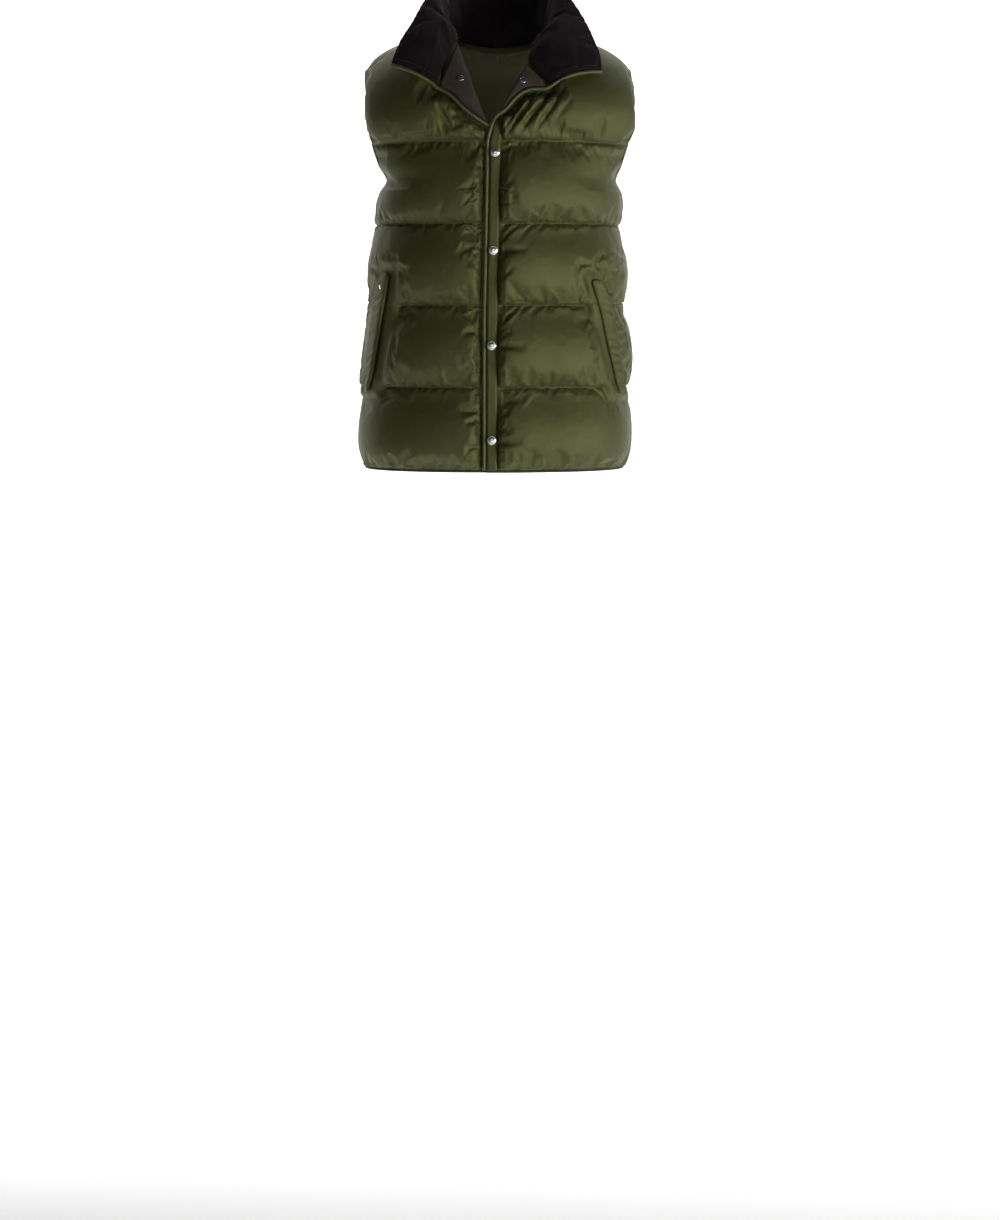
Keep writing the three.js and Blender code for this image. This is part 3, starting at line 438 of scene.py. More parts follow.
def neck_place(face, side, share):
    table = NECK_FRONT if face == "front" else NECK_BACK
    x = read(table, "share", "x", share)
    y = np.abs(read(table, "share", "y", share))
    z = 0 * x
    for _ in range(6):
        across = (1 - (x / half_width(face, side, z)) ** SECTION_POWER) ** (1 / SECTION_POWER)
        ratio = np.minimum(1, y / (read(DEPTHS, "z", face, z) * across))
        z = read(SHOULDER, "x", "z", x) - SHOULDER_RADIUS[face] * (1 - np.sqrt(1 - ratio**2))
    return np.stack([sign_of(side) * x, run_at(face, x, z)], axis=-1)


def half_panel(face, side):
    """Base points and quilting heights of a half panel, from its top edge down to the hem."""
    points, heights = [], []
    draw = random.Random({"left": 11, "right": 23}[side] + len(face))
    turn, z, places, _ = body_row(face, side, 0, 0)
    shares = places / places[-1]
    foot_points = body_point(face, side, turn, z)
    foot = np.stack([foot_points[:, 0], run_at(face, foot_points[:, 0], z)], axis=-1)
    on_neck = shares <= NECK_SHARE
    edge_x = read(ARMHOLE_EDGE, "z", side, ARMHOLE["top"])
    shoulder_x = mix(NECK_BACK["x"][-1], edge_x, (shares - NECK_SHARE) / (1 - NECK_SHARE))
    shoulder = np.stack([sign_of(side) * shoulder_x, 0 * shares], axis=-1)
    neck = neck_place(face, side, np.minimum(shares, NECK_SHARE) / NECK_SHARE)
    top = np.where(on_neck[:, None], neck, shoulder)
    start = math.asin((z[-1] - ARMHOLE_MIDDLE) / ARMHOLE_HALF)
    for i in range(YOKE_ROWS):
        t = 1 - i / YOKE_ROWS
        rise = mix(t, smooth(t), YOKE_CROWD)
        if face == "back":
            inner = np.array([0, mix(foot[0, 1], top[0, 1], rise)])
        else:
            x = read(ROLL[side], "share", "x", rise)
            inner = np.array([x, run_at(face, x, read(ROLL[side], "share", "z", rise))])
        out_z = ARMHOLE_MIDDLE + ARMHOLE_HALF * math.sin(mix(start, math.pi / 2, rise))
        out_x = sign_of(side) * read(ARMHOLE_EDGE, "z", side, out_z)
        outer = np.array([out_x, 0 if i == 0 else run_at(face, out_x, out_z)])
        grid = mix(foot, top, rise) + mix(inner, outer, shares[:, None])
        grid -= mix(
            mix(foot[0], foot[-1], shares[:, None]),
            mix(top[0], top[-1], shares[:, None]),
            rise,
        )
        row = yoke_point(face, side, grid[:, 0], np.maximum(0, grid[:, 1]))
        way = way_along(row)
        height = LOFT["yoke"] * channel_arch(1 - rise, LOFT_LOW["yoke"])
        height = height * beside_edge(way[-1] - way, EDGE_PAD)
        if face == "front":
            clear = turned_clear(side, row[:, 0], row[:, 2])
            height = (height + fold_height(FOLDS[side], row[:, 0], row[:, 2])) * clear
        points.append(row)
        heights.append(height)
    for channel in range(4):
        rows = []
        last = channel == 3
        for i in range(CHANNEL_ROWS + (1 if last else 0)):
            t = i / CHANNEL_ROWS
            share = mix(t, float(smooth(t)), CHANNEL_CROWD)
            if channel == 0:
                share -= ROUND_FOOT * (
                    math.sin(2 * math.pi * (share - FOOT_SHARE)) + math.sin(2 * math.pi * FOOT_SHARE)
                )
            turn, z, way, rest = body_row(face, side, channel, share)
            row = body_point(face, side, turn, z)
            below_armhole = SIDE_PAD * smooth((ARMHOLE["bottom"] + 4 - z) / 16)
            beside = mix(below_armhole, 1, beside_edge(rest, EDGE_PAD))
            loft = mix(LOFT[face], LOFT["side"], smooth(1 - rest / SIDE_REACH))
            height = loft * channel_arch(share) * beside
            if face == "front":
                clear = CLEAR_EDGE[side]
                height *= beside_edge(way - clear, PLACKET_PAD)
                x = row[:, 0]
                folds = fold_height(FOLDS[side], x, z) * smooth((way - clear) / 5)
                height += folds * smooth(channel_arch(share) * 3)
                height = mix(height, POCKET_LOFT, pocket_share(side, x, z))
            points.append(row)
            rows.append((share, way, height))
        tall = SEAMS[face][channel] - SEAMS[face][channel + 1]
        below = np.array([[share * tall] * len(way) for share, way, _ in rows])
        along = np.array([way for _, way, _ in rows])
        tucks = puckers(along, below, tall, draw)
        base = np.array([height for _, _, height in rows])
        quiet = smooth(base / 5)
        heights.extend(np.maximum(0, base + tucks * quiet))
    points = np.array(points)
    heights = np.array(heights)
    points[..., 1] -= lap_raise(side, face, points[..., 0], points[..., 2])
    return points, heights


def grid_normals(grid, outward):
    """Unit normals of a grid of points, on the side that the given vectors point to."""
    across = np.gradient(grid, axis=1)
    down = np.gradient(grid, axis=0)
    normal = np.cross(across, down)
    normal *= np.sign(np.sum(normal * outward, axis=-1, keepdims=True))
    return unit(normal)


def outward_from_body(grid):
    lift = np.maximum(0, grid[..., 2:] + 110)
    return np.concatenate([grid[..., :1], grid[..., 1:2] * 1.6, lift], axis=-1)


def finer(grid):
    """A grid with a point put in between each two, on the smooth curve through its neighbours."""
    for axis in (0, 1):
        grid = np.moveaxis(grid, axis, 0)
        ends = np.concatenate([2 * grid[:1] - grid[1:2], grid, 2 * grid[-1:] - grid[-2:-1]])
        between = (9 * (ends[1:-2] + ends[2:-1]) - ends[:-3] - ends[3:]) / 16
        wide = np.empty((2 * len(grid) - 1,) + grid.shape[1:])
        wide[0::2] = grid
        wide[1::2] = between
        grid = np.moveaxis(wide, 0, axis)
    return grid


def grid_faces(rows, columns, start=0):
    corners = [start + i * columns + j for i in range(rows - 1) for j in range(columns - 1)]
    return [(a, a + 1, a + columns + 1, a + columns) for a in corners]


def border(rows, columns):
    """Places round the edge of a grid, in order."""
    top = [(0, j) for j in range(columns)]
    right = [(i, columns - 1) for i in range(1, rows)]
    foot = [(rows - 1, j) for j in range(columns - 2, -1, -1)]
    left = [(i, 0) for i in range(rows - 2, 0, -1)]
    return top + right + foot + left


def turned_out(vertices, faces):
    """Faces turned so that the closed mesh has a positive volume."""
    vertices = np.asarray(vertices)
    volume = 0.0
    for face in faces:
        a = vertices[face[0]]
        for k in range(1, len(face) - 1):
            volume += float(np.dot(a, np.cross(vertices[face[k]], vertices[face[k + 1]])))
    return [face[::-1] for face in faces] if volume < 0 else faces


def add_mesh(name, vertices, faces, materials, slots=None):
    """A smooth-shaded piece from points in millimetres."""
    vertices = np.asarray(vertices, float)
    mesh = bpy.data.meshes.new(name)
    mesh.from_pydata((vertices * MM).tolist(), [], turned_out(vertices, faces))
    mesh.shade_smooth()
    for material in materials:
        mesh.materials.append(material)
    if slots is not None:
        mesh.polygons.foreach_set("material_index", slots)
    mesh.update()
    piece = bpy.data.objects.new(name, mesh)
    bpy.context.scene.collection.objects.link(piece)
    return piece


def sewn_on(piece, node=None):
    """Names the body that a piece rides on, and hides the solid that it stands for."""
    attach(piece, "root")
    if node is not None:
        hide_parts(node)


def wall_mesh(name, inside, outside, ratio, cloth, lining=None):
    """A closed wall: a fine outer grid, a plain inner grid that is coarser by the ratio, and the rim."""
    rows, columns = outside.shape[:2]
    inner_rows, inner_columns = inside.shape[:2]
    start = rows * columns
    faces = grid_faces(rows, columns)
    slots = [0] * len(faces)
    inner_faces = grid_faces(inner_rows, inner_columns, start)
    faces += [(a, d, c, b) for a, b, c, d in inner_faces]
    slots += [1] * len(inner_faces)
    outer_loop = [i * columns + j for i, j in border(rows, columns)]
    inner_loop = [start + i * inner_columns + j for i, j in border(inner_rows, inner_columns)]
    for k in range(len(inner_loop)):
        here = inner_loop[k]
        after = inner_loop[(k + 1) % len(inner_loop)]
        for step in range(ratio):
            a = outer_loop[k * ratio + step]
            b = outer_loop[(k * ratio + step + 1) % len(outer_loop)]
            faces.append((here, b, a))
        faces.append((here, after, outer_loop[((k + 1) * ratio) % len(outer_loop)]))
    slots += [0] * (len(faces) - len(slots))
    vertices = np.concatenate([outside.reshape(-1, 3), inside.reshape(-1, 3)])
    return add_mesh(name, vertices, faces, [cloth, lining or cloth], slots)


def new_material(name, colour, roughness, finish):
    """A material with its main shader, and what its textures need: nodes, links and the place."""
    material = bpy.data.materials.new(name)
    material.use_nodes = True
    nodes, links = material.node_tree.nodes, material.node_tree.links
    shader = nodes["Principled BSDF"]
    shader.inputs["Base Color"].default_value = (*colour, 1)
    shader.inputs["Roughness"].default_value = roughness
    for socket, value in finish.items():
        shader.inputs[socket].default_value = value
    place = nodes.new("ShaderNodeTexCoord").outputs["Object"]
    return material, nodes, links, shader, place


def noise(nodes, links, vector, scale, detail):
    texture = nodes.new("ShaderNodeTexNoise")
    texture.inputs["Scale"].default_value = scale
    texture.inputs["Detail"].default_value = detail
    links.new(vector, texture.inputs["Vector"])
    return texture.outputs["Fac"]


def bumps(nodes, links, shader, layers):
    """Bump from several height sources, each with its height in metres."""
    normal = None
    for height, depth in layers:
        bump = nodes.new("ShaderNodeBump")
        bump.inputs["Distance"].default_value = depth
        links.new(height, bump.inputs["Height"])
        if normal is not None:
            links.new(normal, bump.inputs["Normal"])
        normal = bump.outputs["Normal"]
    links.new(normal, shader.inputs["Normal"])


def colour_between(nodes, links, factor, low, high, shader):
    ramp = nodes.new("ShaderNodeValToRGB")
    ramp.color_ramp.elements[0].position = 0.3
    ramp.color_ramp.elements[0].color = (*low, 1)
    ramp.color_ramp.elements[1].position = 0.7
    ramp.color_ramp.elements[1].color = (*high, 1)
    links.new(factor, ramp.inputs["Fac"])
    links.new(ramp.outputs["Color"], shader.inputs["Base Color"])


SATIN_ROUGHNESS = 0.56
SATIN = {
    "Specular IOR Level": 0.95,
    "Specular Tint": (0.91, 0.95, 0.44, 1),
    "Sheen Weight": 0.05,
    "Sheen Roughness": 0.4,
    "Sheen Tint": (0.75, 0.8, 0.45, 1),
}
WEAVE_SCALE = 2000


def satin_nylon(name, low, high):
    """Fine satin-faced nylon: close weave, soft broad gloss, faint crinkles."""
    material, nodes, links, shader, place = new_material(name, low, SATIN_ROUGHNESS, SATIN)
    patch = noise(nodes, links, place, 9, 3)
    colour_between(nodes, links, patch, low, high, shader)
    crinkle = noise(nodes, links, place, 75, 3)
    weave = nodes.new("ShaderNodeTexWave")
    weave.wave_type = "BANDS"
    weave.bands_direction = "Z"
    weave.inputs["Scale"].default_value = WEAVE_SCALE
    weave.inputs["Distortion"].default_value = 1.2
    links.new(place, weave.inputs["Vector"])
    bumps(nodes, links, shader, [(crinkle, 0.0008), (weave.outputs["Fac"], 0.00003)])
    return material


olive_cloth = satin_nylon("olive_satin_nylon", (0.022, 0.0245, 0.005), (0.03, 0.033, 0.007))
lining_cloth = satin_nylon("inner_nylon", (0.006, 0.007, 0.003), (0.009, 0.01, 0.004))


def finish_seams(base, normals, face):
    """Clears the side and shoulder seams by half a gap."""
    push = (-1 if face == "front" else 1) * GAP / 2
    last = base.shape[1] - 1
    columns = [last] if face == "front" else [0, last]
    for j in columns:
        on_seam = np.abs(base[:, j, 1]) < 2
        normals[on_seam, j, 1] = 0
        base[on_seam, j, 1] = push
    on_seam = np.abs(base[0, :, 1]) < 2
    normals[0, on_seam, 1] = 0
    base[0, on_seam, 1] = push
    normals /= np.linalg.norm(normals, axis=-1, keepdims=True)


FILL_CLOTH = {
    "quality": 7,
    "mass": 0.12,
    "tension_stiffness": 12,
    "compression_stiffness": 12,
    "shear_stiffness": 4,
    "bending_stiffness": 0.3,
    "tension_damping": 10,
    "compression_damping": 10,
    "use_pressure": True,
    "uniform_pressure_force": 1.2,
    "shrink_min": -0.04,
}
FILL_STEPS = 16
HELD_LAP = {"left": 18, "right": 35}
HELD_FADE = 9
HELD_ABOVE = 6
FLAT_LOFT = 1.5
FILL_REACH = 3.5


def filled_cloth(outer, held, normals, reach):
    """The cloth of a panel blown up from inside between the places where it is held."""
    faces = grid_faces(*outer.shape[:2])
    first = faces[len(faces) // 2]
    flat = outer.reshape(-1, 3)
    facing = np.cross(flat[first[1]] - flat[first[0]], flat[first[3]] - flat[first[0]])
    if facing.dot(normals.reshape(-1, 3)[first[0]]) < 0:
        faces = [face[::-1] for face in faces]
    mesh = bpy.data.meshes.new("filling")
    mesh.from_pydata((flat * MM).tolist(), [], faces)
    cloth = bpy.data.objects.new("filling", mesh)
    bpy.context.scene.collection.objects.link(cloth)
    pins = cloth.vertex_groups.new(name="held")
    for k, weight in enumerate(held.reshape(-1)):
        pins.add([k], float(weight), "REPLACE")
    filling = cloth.modifiers.new("filling", "CLOTH")
    settings = filling.settings
    for quality, value in FILL_CLOTH.items():
        setattr(settings, quality, value)
    settings.vertex_group_mass = "held"
    settings.effector_weights.gravity = 0
    filling.collision_settings.use_collision = False
    filling.collision_settings.use_self_collision = False
    filling.point_cache.frame_end = FILL_STEPS
    for step in range(1, FILL_STEPS + 1):
        bpy.context.scene.frame_set(step)
    shown = cloth.evaluated_get(bpy.context.evaluated_depsgraph_get())
    found = np.empty(len(flat) * 3)
    shown.data.vertices.foreach_get("co", found)
    moved = found.reshape(outer.shape) / MM - outer
    bpy.data.objects.remove(cloth)
    bpy.data.meshes.remove(mesh)
    bpy.context.scene.frame_set(1)
    far = np.linalg.norm(moved, axis=-1, keepdims=True)
    return outer + moved * np.minimum(1, reach / np.maximum(far, 1e-6))


def quilted_panel(name, base, heights, face, side):
    normals = grid_normals(base, outward_from_body(base))
    finish_seams(base, normals, face)
    outer = base + normals * (WALL + heights)[..., None]
    held = np.zeros(heights.shape)
    for row in [0] + [YOKE_ROWS + CHANNEL_ROWS * k for k in range(5)]:
        held[row] = 1
    held[:, [0, -1]] = 1
    if face == "front":
        way = np.linalg.norm(np.diff(base, axis=1), axis=-1).cumsum(axis=1)
        way = np.concatenate([0 * way[:, :1], way], axis=1)
        lapped = (np.arange(len(base)) > YOKE_ROWS - HELD_ABOVE)[:, None]
        held = np.maximum(held, (1 - smooth((way - HELD_LAP[side]) / HELD_FADE)) * lapped)
        held[:YOKE_ROWS][heights[:YOKE_ROWS] < FLAT_LOFT] = 1
        held = np.maximum(held, smooth(2 * pocket_share(side, outer[..., 0], outer[..., 2])))
    outer = filled_cloth(outer, held, normals, FILL_REACH)
    fine = finer(outer)
    if side == "left":
        fine = fine + finer(normals) * fold_height(GATHERS, fine[..., 0], fine[..., 2])[..., None]
    piece = wall_mesh(name, base[::2, ::2], fine, 4, olive_cloth, lining_cloth)
    sewn_on(piece, name.replace("quilted_", ""))
    return piece, normals, outer


left_base, left_heights = half_panel("front", "left")
right_base, right_heights = half_panel("front", "right")
back_halves = [half_panel("back", side) for side in ("right", "left")]
back_base, back_heights = [
    np.concatenate([back_halves[0][k][:, :0:-1], back_halves[1][k]], axis=1) for k in (0, 1)
]
front_left, left_normals, left_outer = quilted_panel(
    "quilted_front_left", left_base, left_heights, "front", "left"
)
front_right, right_normals, right_outer = quilted_panel(
    "quilted_front_right", right_base, right_heights, "front", "right"
)
back, back_normals, back_outer = quilted_panel("quilted_back", back_base, back_heights, "back", "both")
fronts = {
    "left": (left_base, left_outer, left_normals),
    "right": (right_base, right_outer, right_normals),
}

# Snapped placket
# A flat folded strip of the same nylon, topstitched down the left front's edge over the lap.
PLACKET_THICK = 2.4
PLACKET_TOP = YOKE_ROWS - 8
PLACKET_ACROSS = 9
PLACKET_COLUMNS = 18
PLACKET_NARROW = 0.25
SNAP_PRESS = 9
RIPPLES = 9
SNAP_HEIGHTS = [-163.7, -304.4, -442.6, -580.8]


placket_rows = []
placket_share = np.linspace(0, 1, PLACKET_ACROSS)
placket_puff = []
draw = random.Random(5)
waves = [
    (draw.uniform(0.1, 0.35), draw.uniform(5, 24), draw.uniform(0, 6), draw.uniform(-2, 2))
    for _ in range(RIPPLES)
]
for i in range(PLACKET_TOP, left_outer.shape[0]):
    widen = mix(PLACKET_NARROW, 1, float(smooth((i - PLACKET_TOP) / 6)))
    row = np.concatenate([left_outer[i], left_normals[i]], axis=1)[:PLACKET_COLUMNS]
    row = at_ways(placket_share * 2 * PLACKET_HALF * widen, way_along(row), row)
    placket_rows.append(row)
    z = row[0, 2]
    pressed = max(math.exp(-(((z - snap) / SNAP_PRESS) ** 2)) for snap in SNAP_HEIGHTS)
    ripple = sum(
        high * np.sin(z / wide + turn + slant * placket_share) for high, wide, turn, slant in waves
    )
    edge = beside_edge(np.minimum(placket_share, 1.1 * (1 - placket_share)), 0.3)
    placket_puff.append(PLACKET_THICK * mix(0.2, 1, edge) + edge * (0.6 * (1 - pressed) + 0.5 * ripple))
placket_rows = finer(np.array(placket_rows))
placket_puff = finer(np.array(placket_puff)[..., None])[..., 0]
placket_base = placket_rows[..., :3]
placket_normals = unit(placket_rows[..., 3:])
placket_top = placket_base + placket_normals * (GAP + placket_puff)[..., None]
placket_foot = placket_base + placket_normals * GAP
placket = wall_mesh("placket_strip", placket_foot, placket_top, 1, olive_cloth)
sewn_on(placket, "front_placket")

# Turned-out fronts
# Above the first snap the fronts roll open and show their facing, a matt brown-grey cloth.
FACING_THICK = 2.4
ROLL_SPAN = {"right": (0.26, 0.98), "left": (0.44, 0.8)}
TURNED_STEPS = (33, 17)
turned_rows = []


def over_front(side, x, z, lift):
    """Points over a front by their place in the front view, with the outward normals there."""
    x, z = np.asarray(x, float), np.asarray(z, float)

    def at(px, pz):
        point = yoke_point("front", side, px, run_at("front", px, pz))
        point[..., 1] -= lap_raise(side, "front", px, pz)
        return point

    normal = np.cross(at(x + 1, z) - at(x - 1, z), at(x, z + 1) - at(x, z - 1))
    normal = unit(normal * -np.sign(normal[..., 1:2]))
    return at(x, z) + normal * np.asarray(lift)[..., None], normal


def turned_place(side, rise, share):
    roll_share = mix(*ROLL_SPAN[side], rise)
    roll = [read(ROLL[side], "share", axis, roll_share) for axis in ("x", "z")]
    edge = [read(TURNED_EDGE[side], "share", axis, rise) for axis in ("x", "z")]
    return mix(roll[0], edge[0], share), mix(roll[1], edge[1], share)


def turned_lift(rise, share):
    roll = 3.5 * np.sin(math.pi * share) * np.sin(math.pi * (0.15 + 0.6 * rise))
    return WALL + mix(0.9, 2, share) + roll


def matt_cloth(name, low, high, roughness, sheen):
    """Plain woven or napped cloth without gloss."""
    finish = {"Specular IOR Level": 0.12, "Sheen Weight": sheen, "Sheen Roughness": 0.6}
    material, nodes, links, shader, place = new_material(name, low, roughness, finish)
    colour_between(nodes, links, noise(nodes, links, place, 30, 4), low, high, shader)
    nap = noise(nodes, links, place, 900, 3)
    soft = noise(nodes, links, place, 60, 2)
    bumps(nodes, links, shader, [(soft, 0.0008), (nap, 0.00025)])
    return material


facing_cloth = matt_cloth("brown_grey_facing", (0.045, 0.035, 0.027), (0.06, 0.047, 0.037), 0.9, 0.05)
turned_rise, turned_share = np.meshgrid(
    np.linspace(0, 1, TURNED_STEPS[0]), np.linspace(0, 1, TURNED_STEPS[1]), indexing="ij"
)
for side in ("right", "left"):
    x, z = turned_place(side, turned_rise, turned_share)
    lift = turned_lift(turned_rise, turned_share)
    edge_round = 0.5 + 0.5 * beside_edge(np.minimum(turned_share, 1 - turned_share), 0.12)
    under = over_front(side, x, z, lift)[0]
    over = over_front(side, x, z, lift + FACING_THICK * edge_round)[0]
    facing = wall_mesh("turned_facing_" + side, under, over, 1, facing_cloth)
    sewn_on(facing, "front_facing_" + side)
    turned_normals = grid_normals(over, over - under)
    turned_rows.append((over[1:-1, -4], turned_normals[1:-1, -4]))

# Collar
# A stand collar as high as a hand, worn open: nylon outside over a light pad, and inside a
# near-black napped facing, which shows because the front ends lie out on the shoulders.
COLLAR = [
    {"over": "right", "lift": 7, "seam": (-88, 0, -67), "edge": (-155, -102, -34), "arch": (2, -16, 7)},
    {"over": "right", "lift": 6, "seam": (-75, 0, -30), "edge": (-143, -89, -3), "arch": (12, -15, 20)},
    {"seam": (-61, -58, 6), "edge": (-126, -60, 27), "arch": (18, -9, 22)},
    {"seam": (-71, -29, 12), "edge": (-108, -24, 62), "arch": (12, -6, 12)},
    {"seam": (-77, 0, 13), "edge": (-92, 6, 82), "arch": (7, -3, 4)},
    {"seam": (-68, 33, 8), "edge": (-82, 38, 88), "arch": (6, -6, 0)},
    {"seam": (-42, 59, -1), "edge": (-50, 66, 91), "arch": (4, -8, 0)},
    {"seam": (0, 68, -5.5), "edge": (0, 77, 92), "arch": (0, -9, 0)},
    {"seam": (42, 59, -1), "edge": (50, 66, 91), "arch": (-4, -8, 0)},
    {"seam": (68, 33, 8), "edge": (83, 38, 88), "arch": (-6, -6, 0)},
    {"seam": (77, 0, 13), "edge": (93, 6, 81), "arch": (-7, -3, 4)},
    {"seam": (71, -29, 12), "edge": (112, -22, 58), "arch": (-12, -6, 12)},
    {"seam": (61, -58, 6), "edge": (131, -52, 24), "arch": (-20, -9, 22)},
    {"over": "left", "lift": 5, "seam": (50, 0, -16), "edge": (142, -76, -2), "arch": (-22, -14, 24)},
    {"over": "left", "lift": 6, "seam": (46, 0, -36), "edge": (149, -92, -22), "arch": (-20, -18, 22)},
    {"over": "left", "lift": 7, "seam": (75, 0, -67), "edge": (151, -103, -44), "arch": (-6, -17, 12)},
]
COLLAR_SHELL = 3.4
COLLAR_FACING = 2.6
COLLAR_PUFF = 2.5
COLLAR_REACH = 1.8
COLLAR_SHORTER = 2.2
COLLAR_SEAM_SHARE = 0.4
COLLAR_SEAM_DROP = 1.3
COLLAR_COLUMNS = 12
COLLAR_RISES = 45
COLLAR_HEIGHT = 95
COLLAR_CROWD = 1.7
COLLAR_FADE = 12
DROP_SPAN = (0.1, 0.83)
PRESS_DEPTH = 14
PRESS_BESIDE = 4.5
PRESS_ROOM = 0.5
# Creases: from way round and way up to way round and way up, width, height; below nothing is a trough
CREASES = [
    (18, 22, 84, 44, 8, 2.0),
    (30, 62, 98, 78, 9, -1.8),
    (66, 12, 112, 58, 10, 1.8),
    (108, 14, 132, 80, 12, -2.0),
    (158, 6, 176, 70, 12, 1.6),
    (232, 10, 224, 86, 14, -1.6),
    (296, 18, 330, 76, 16, 1.4),
    (384, 8, 374, 82, 12, -1.8),
    (446, 12, 456, 74, 12, 1.8),
    (498, 62, 566, 24, 9, 2.4),
    (520, 82, 594, 52, 8, -2.2),
    (546, 12, 604, 32, 7, -2.2),
]


def collar_curve(points, shares):
    """Smooth curve through the collar's section points."""
    points = np.array(points, float)
    ends = np.concatenate([2 * points[:1] - points[1:2], points, 2 * points[-1:] - points[-2:-1]])
    place = shares * (len(points) - 1)
    i = np.minimum(place.astype(int), len(points) - 2)
    t = (place - i)[:, None]
    p0, p1, p2, p3 = ends[i], ends[i + 1], ends[i + 2], ends[i + 3]
    return 0.5 * (
        2 * p1 + (p2 - p0) * t + (2 * p0 - 5 * p1 + 4 * p2 - p3) * t**2 + (3 * p1 - p0 - 3 * p2 + p3) * t**3
    )


seam_points = []
for section in COLLAR:
    x, y, z = section["seam"]
    point = over_front(section["over"], x, z, section["lift"])[0] if "over" in section else (x, y, z)
    seam_points.append(point)
collar_shares = np.linspace(0, 1, (len(COLLAR) - 1) * COLLAR_COLUMNS + 1)
seam_rail = collar_curve(seam_points, collar_shares)
edge_rail = collar_curve([section["edge"] for section in COLLAR], collar_shares)
arch_rail = collar_curve([section["arch"] for section in COLLAR], collar_shares)
drop_from = np.clip((collar_shares - DROP_SPAN[0]) * 20, 0, 1)
drop_to = np.clip((DROP_SPAN[1] - collar_shares) * 20, 0, 1)
seam_rail[..., 2] -= COLLAR_SEAM_DROP * drop_from * drop_to
rises = (1 - (1 - np.linspace(0, 1, COLLAR_RISES)) ** COLLAR_CROWD)[:, None, None]
collar_middle = (seam_rail + edge_rail) / 2 + arch_rail
collar_grid = seam_rail * (1 - rises) ** 2 + collar_middle * 2 * rises * (1 - rises) + edge_rail * rises**2
collar_side = np.cross(np.gradient(collar_grid, axis=0), np.gradient(collar_grid, axis=1))
if collar_side[COLLAR_RISES // 2, collar_side.shape[1] // 2, 1] > 0:
    collar_side = -collar_side
collar_normals = grid_normals(collar_grid, collar_side)
rise = rises[..., 0]
collar_way = way_along(collar_grid[COLLAR_RISES // 2])[None, :] + 0 * rise
collar_up = rise * COLLAR_HEIGHT + 0 * collar_way
crease = fold_height(CREASES, collar_way, collar_up, 1, 0.8)
collar_grid = collar_grid + collar_normals * (crease * smooth(collar_up / 12))[..., None]
puff = np.sin(math.pi * rise)
seam_share = mix(COLLAR_SEAM_SHARE, 1, smooth(rise / 0.3))
collar_ends = np.minimum(collar_way, collar_way[:, -1:] - collar_way)
edge_share = 0.06 + 0.94 * beside_edge(COLLAR_HEIGHT - collar_up, 4.5) * beside_edge(collar_ends, 5)
collar_cloth = matt_cloth("dark_napped_collar", (0.008, 0.005, 0.0055), (0.013, 0.008, 0.009), 1.0, 0.03)
in_offset = (COLLAR_FACING * seam_share + puff) * edge_share
out_offset = (COLLAR_SHELL * seam_share + COLLAR_PUFF * puff) * edge_share


def shorter(grid, short):
    """The grid drawn in at its free edge and its two front ends, fading out away from them."""
    drawn = grid.copy()
    fade = 1 - smooth((COLLAR_HEIGHT - collar_up) / COLLAR_FADE)
    drawn += (fade[..., None] * short) * unit(grid[-4] - grid[-1])
    fade = 1 - smooth(collar_ends / COLLAR_FADE)
    half = grid.shape[1] // 2
    for part, inward in (
        (slice(0, half), grid[:, 4] - grid[:, 0]),
        (slice(half, None), grid[:, -5] - grid[:, -1]),
    ):
        drawn[:, part] += fade[:, part, None] * short * unit(inward)[:, None]
    return drawn


def collar_layer(name, near, far, short, material):
    """One layer of the collar: a plain side against the other layer and an eased, soft side."""
    grid = shorter(collar_grid, short)
    under = grid + collar_normals * near
    over = grid + collar_normals * far[..., None]
    held = np.zeros(over.shape[:2])
    held[[0, 1, -1, -2, -3]] = 1
    held[:, [0, 1, -2, -1]] = 1
    over = filled_cloth(over, held, collar_normals * np.sign(near), COLLAR_REACH)
    return wall_mesh(name, under, over, 1, material), over


collar_facing, facing_over = collar_layer("collar_facing_cloth", GAP / 2, in_offset, 0, collar_cloth)
collar_shell, shell_over = collar_layer(
    "collar_shell_cloth", -GAP / 2, -out_offset, COLLAR_SHORTER, olive_cloth
)


def press_under(cloth, over, away, room):
    """Moves the points of a cloth that reach into a layer lying on it to just behind that layer."""
    tree = KDTree(over.shape[0] * over.shape[1])
    flat, turn = over.reshape(-1, 3), away.reshape(-1, 3)
    for k, point in enumerate(flat):
        tree.insert(point, k)
    tree.balance()
    points = np.empty(len(cloth.data.vertices) * 3)
    cloth.data.vertices.foreach_get("co", points)
    points = points.reshape(-1, 3) / MM
    low, high = flat.min(axis=0) - PRESS_DEPTH - 1, flat.max(axis=0) + PRESS_DEPTH + 1
    for k in np.nonzero(np.all((points > low) & (points < high), axis=1))[0]:
        _, nearest, distance = tree.find(points[k])
        depth = (points[k] - flat[nearest]).dot(turn[nearest])
        beside = math.sqrt(max(0, distance**2 - depth**2))
        if abs(depth) < PRESS_DEPTH and beside < PRESS_BESIDE and depth < room:
            points[k] += turn[nearest] * (room - depth)
    cloth.data.vertices.foreach_set("co", (points * MM).reshape(-1))
    cloth.data.update()


for cloth in (front_left, front_right):
    press_under(cloth, shell_over[2:], -collar_normals[2:], PRESS_ROOM)
sewn_on(collar_facing, "collar_facing")
sewn_on(collar_shell, "collar_shell")
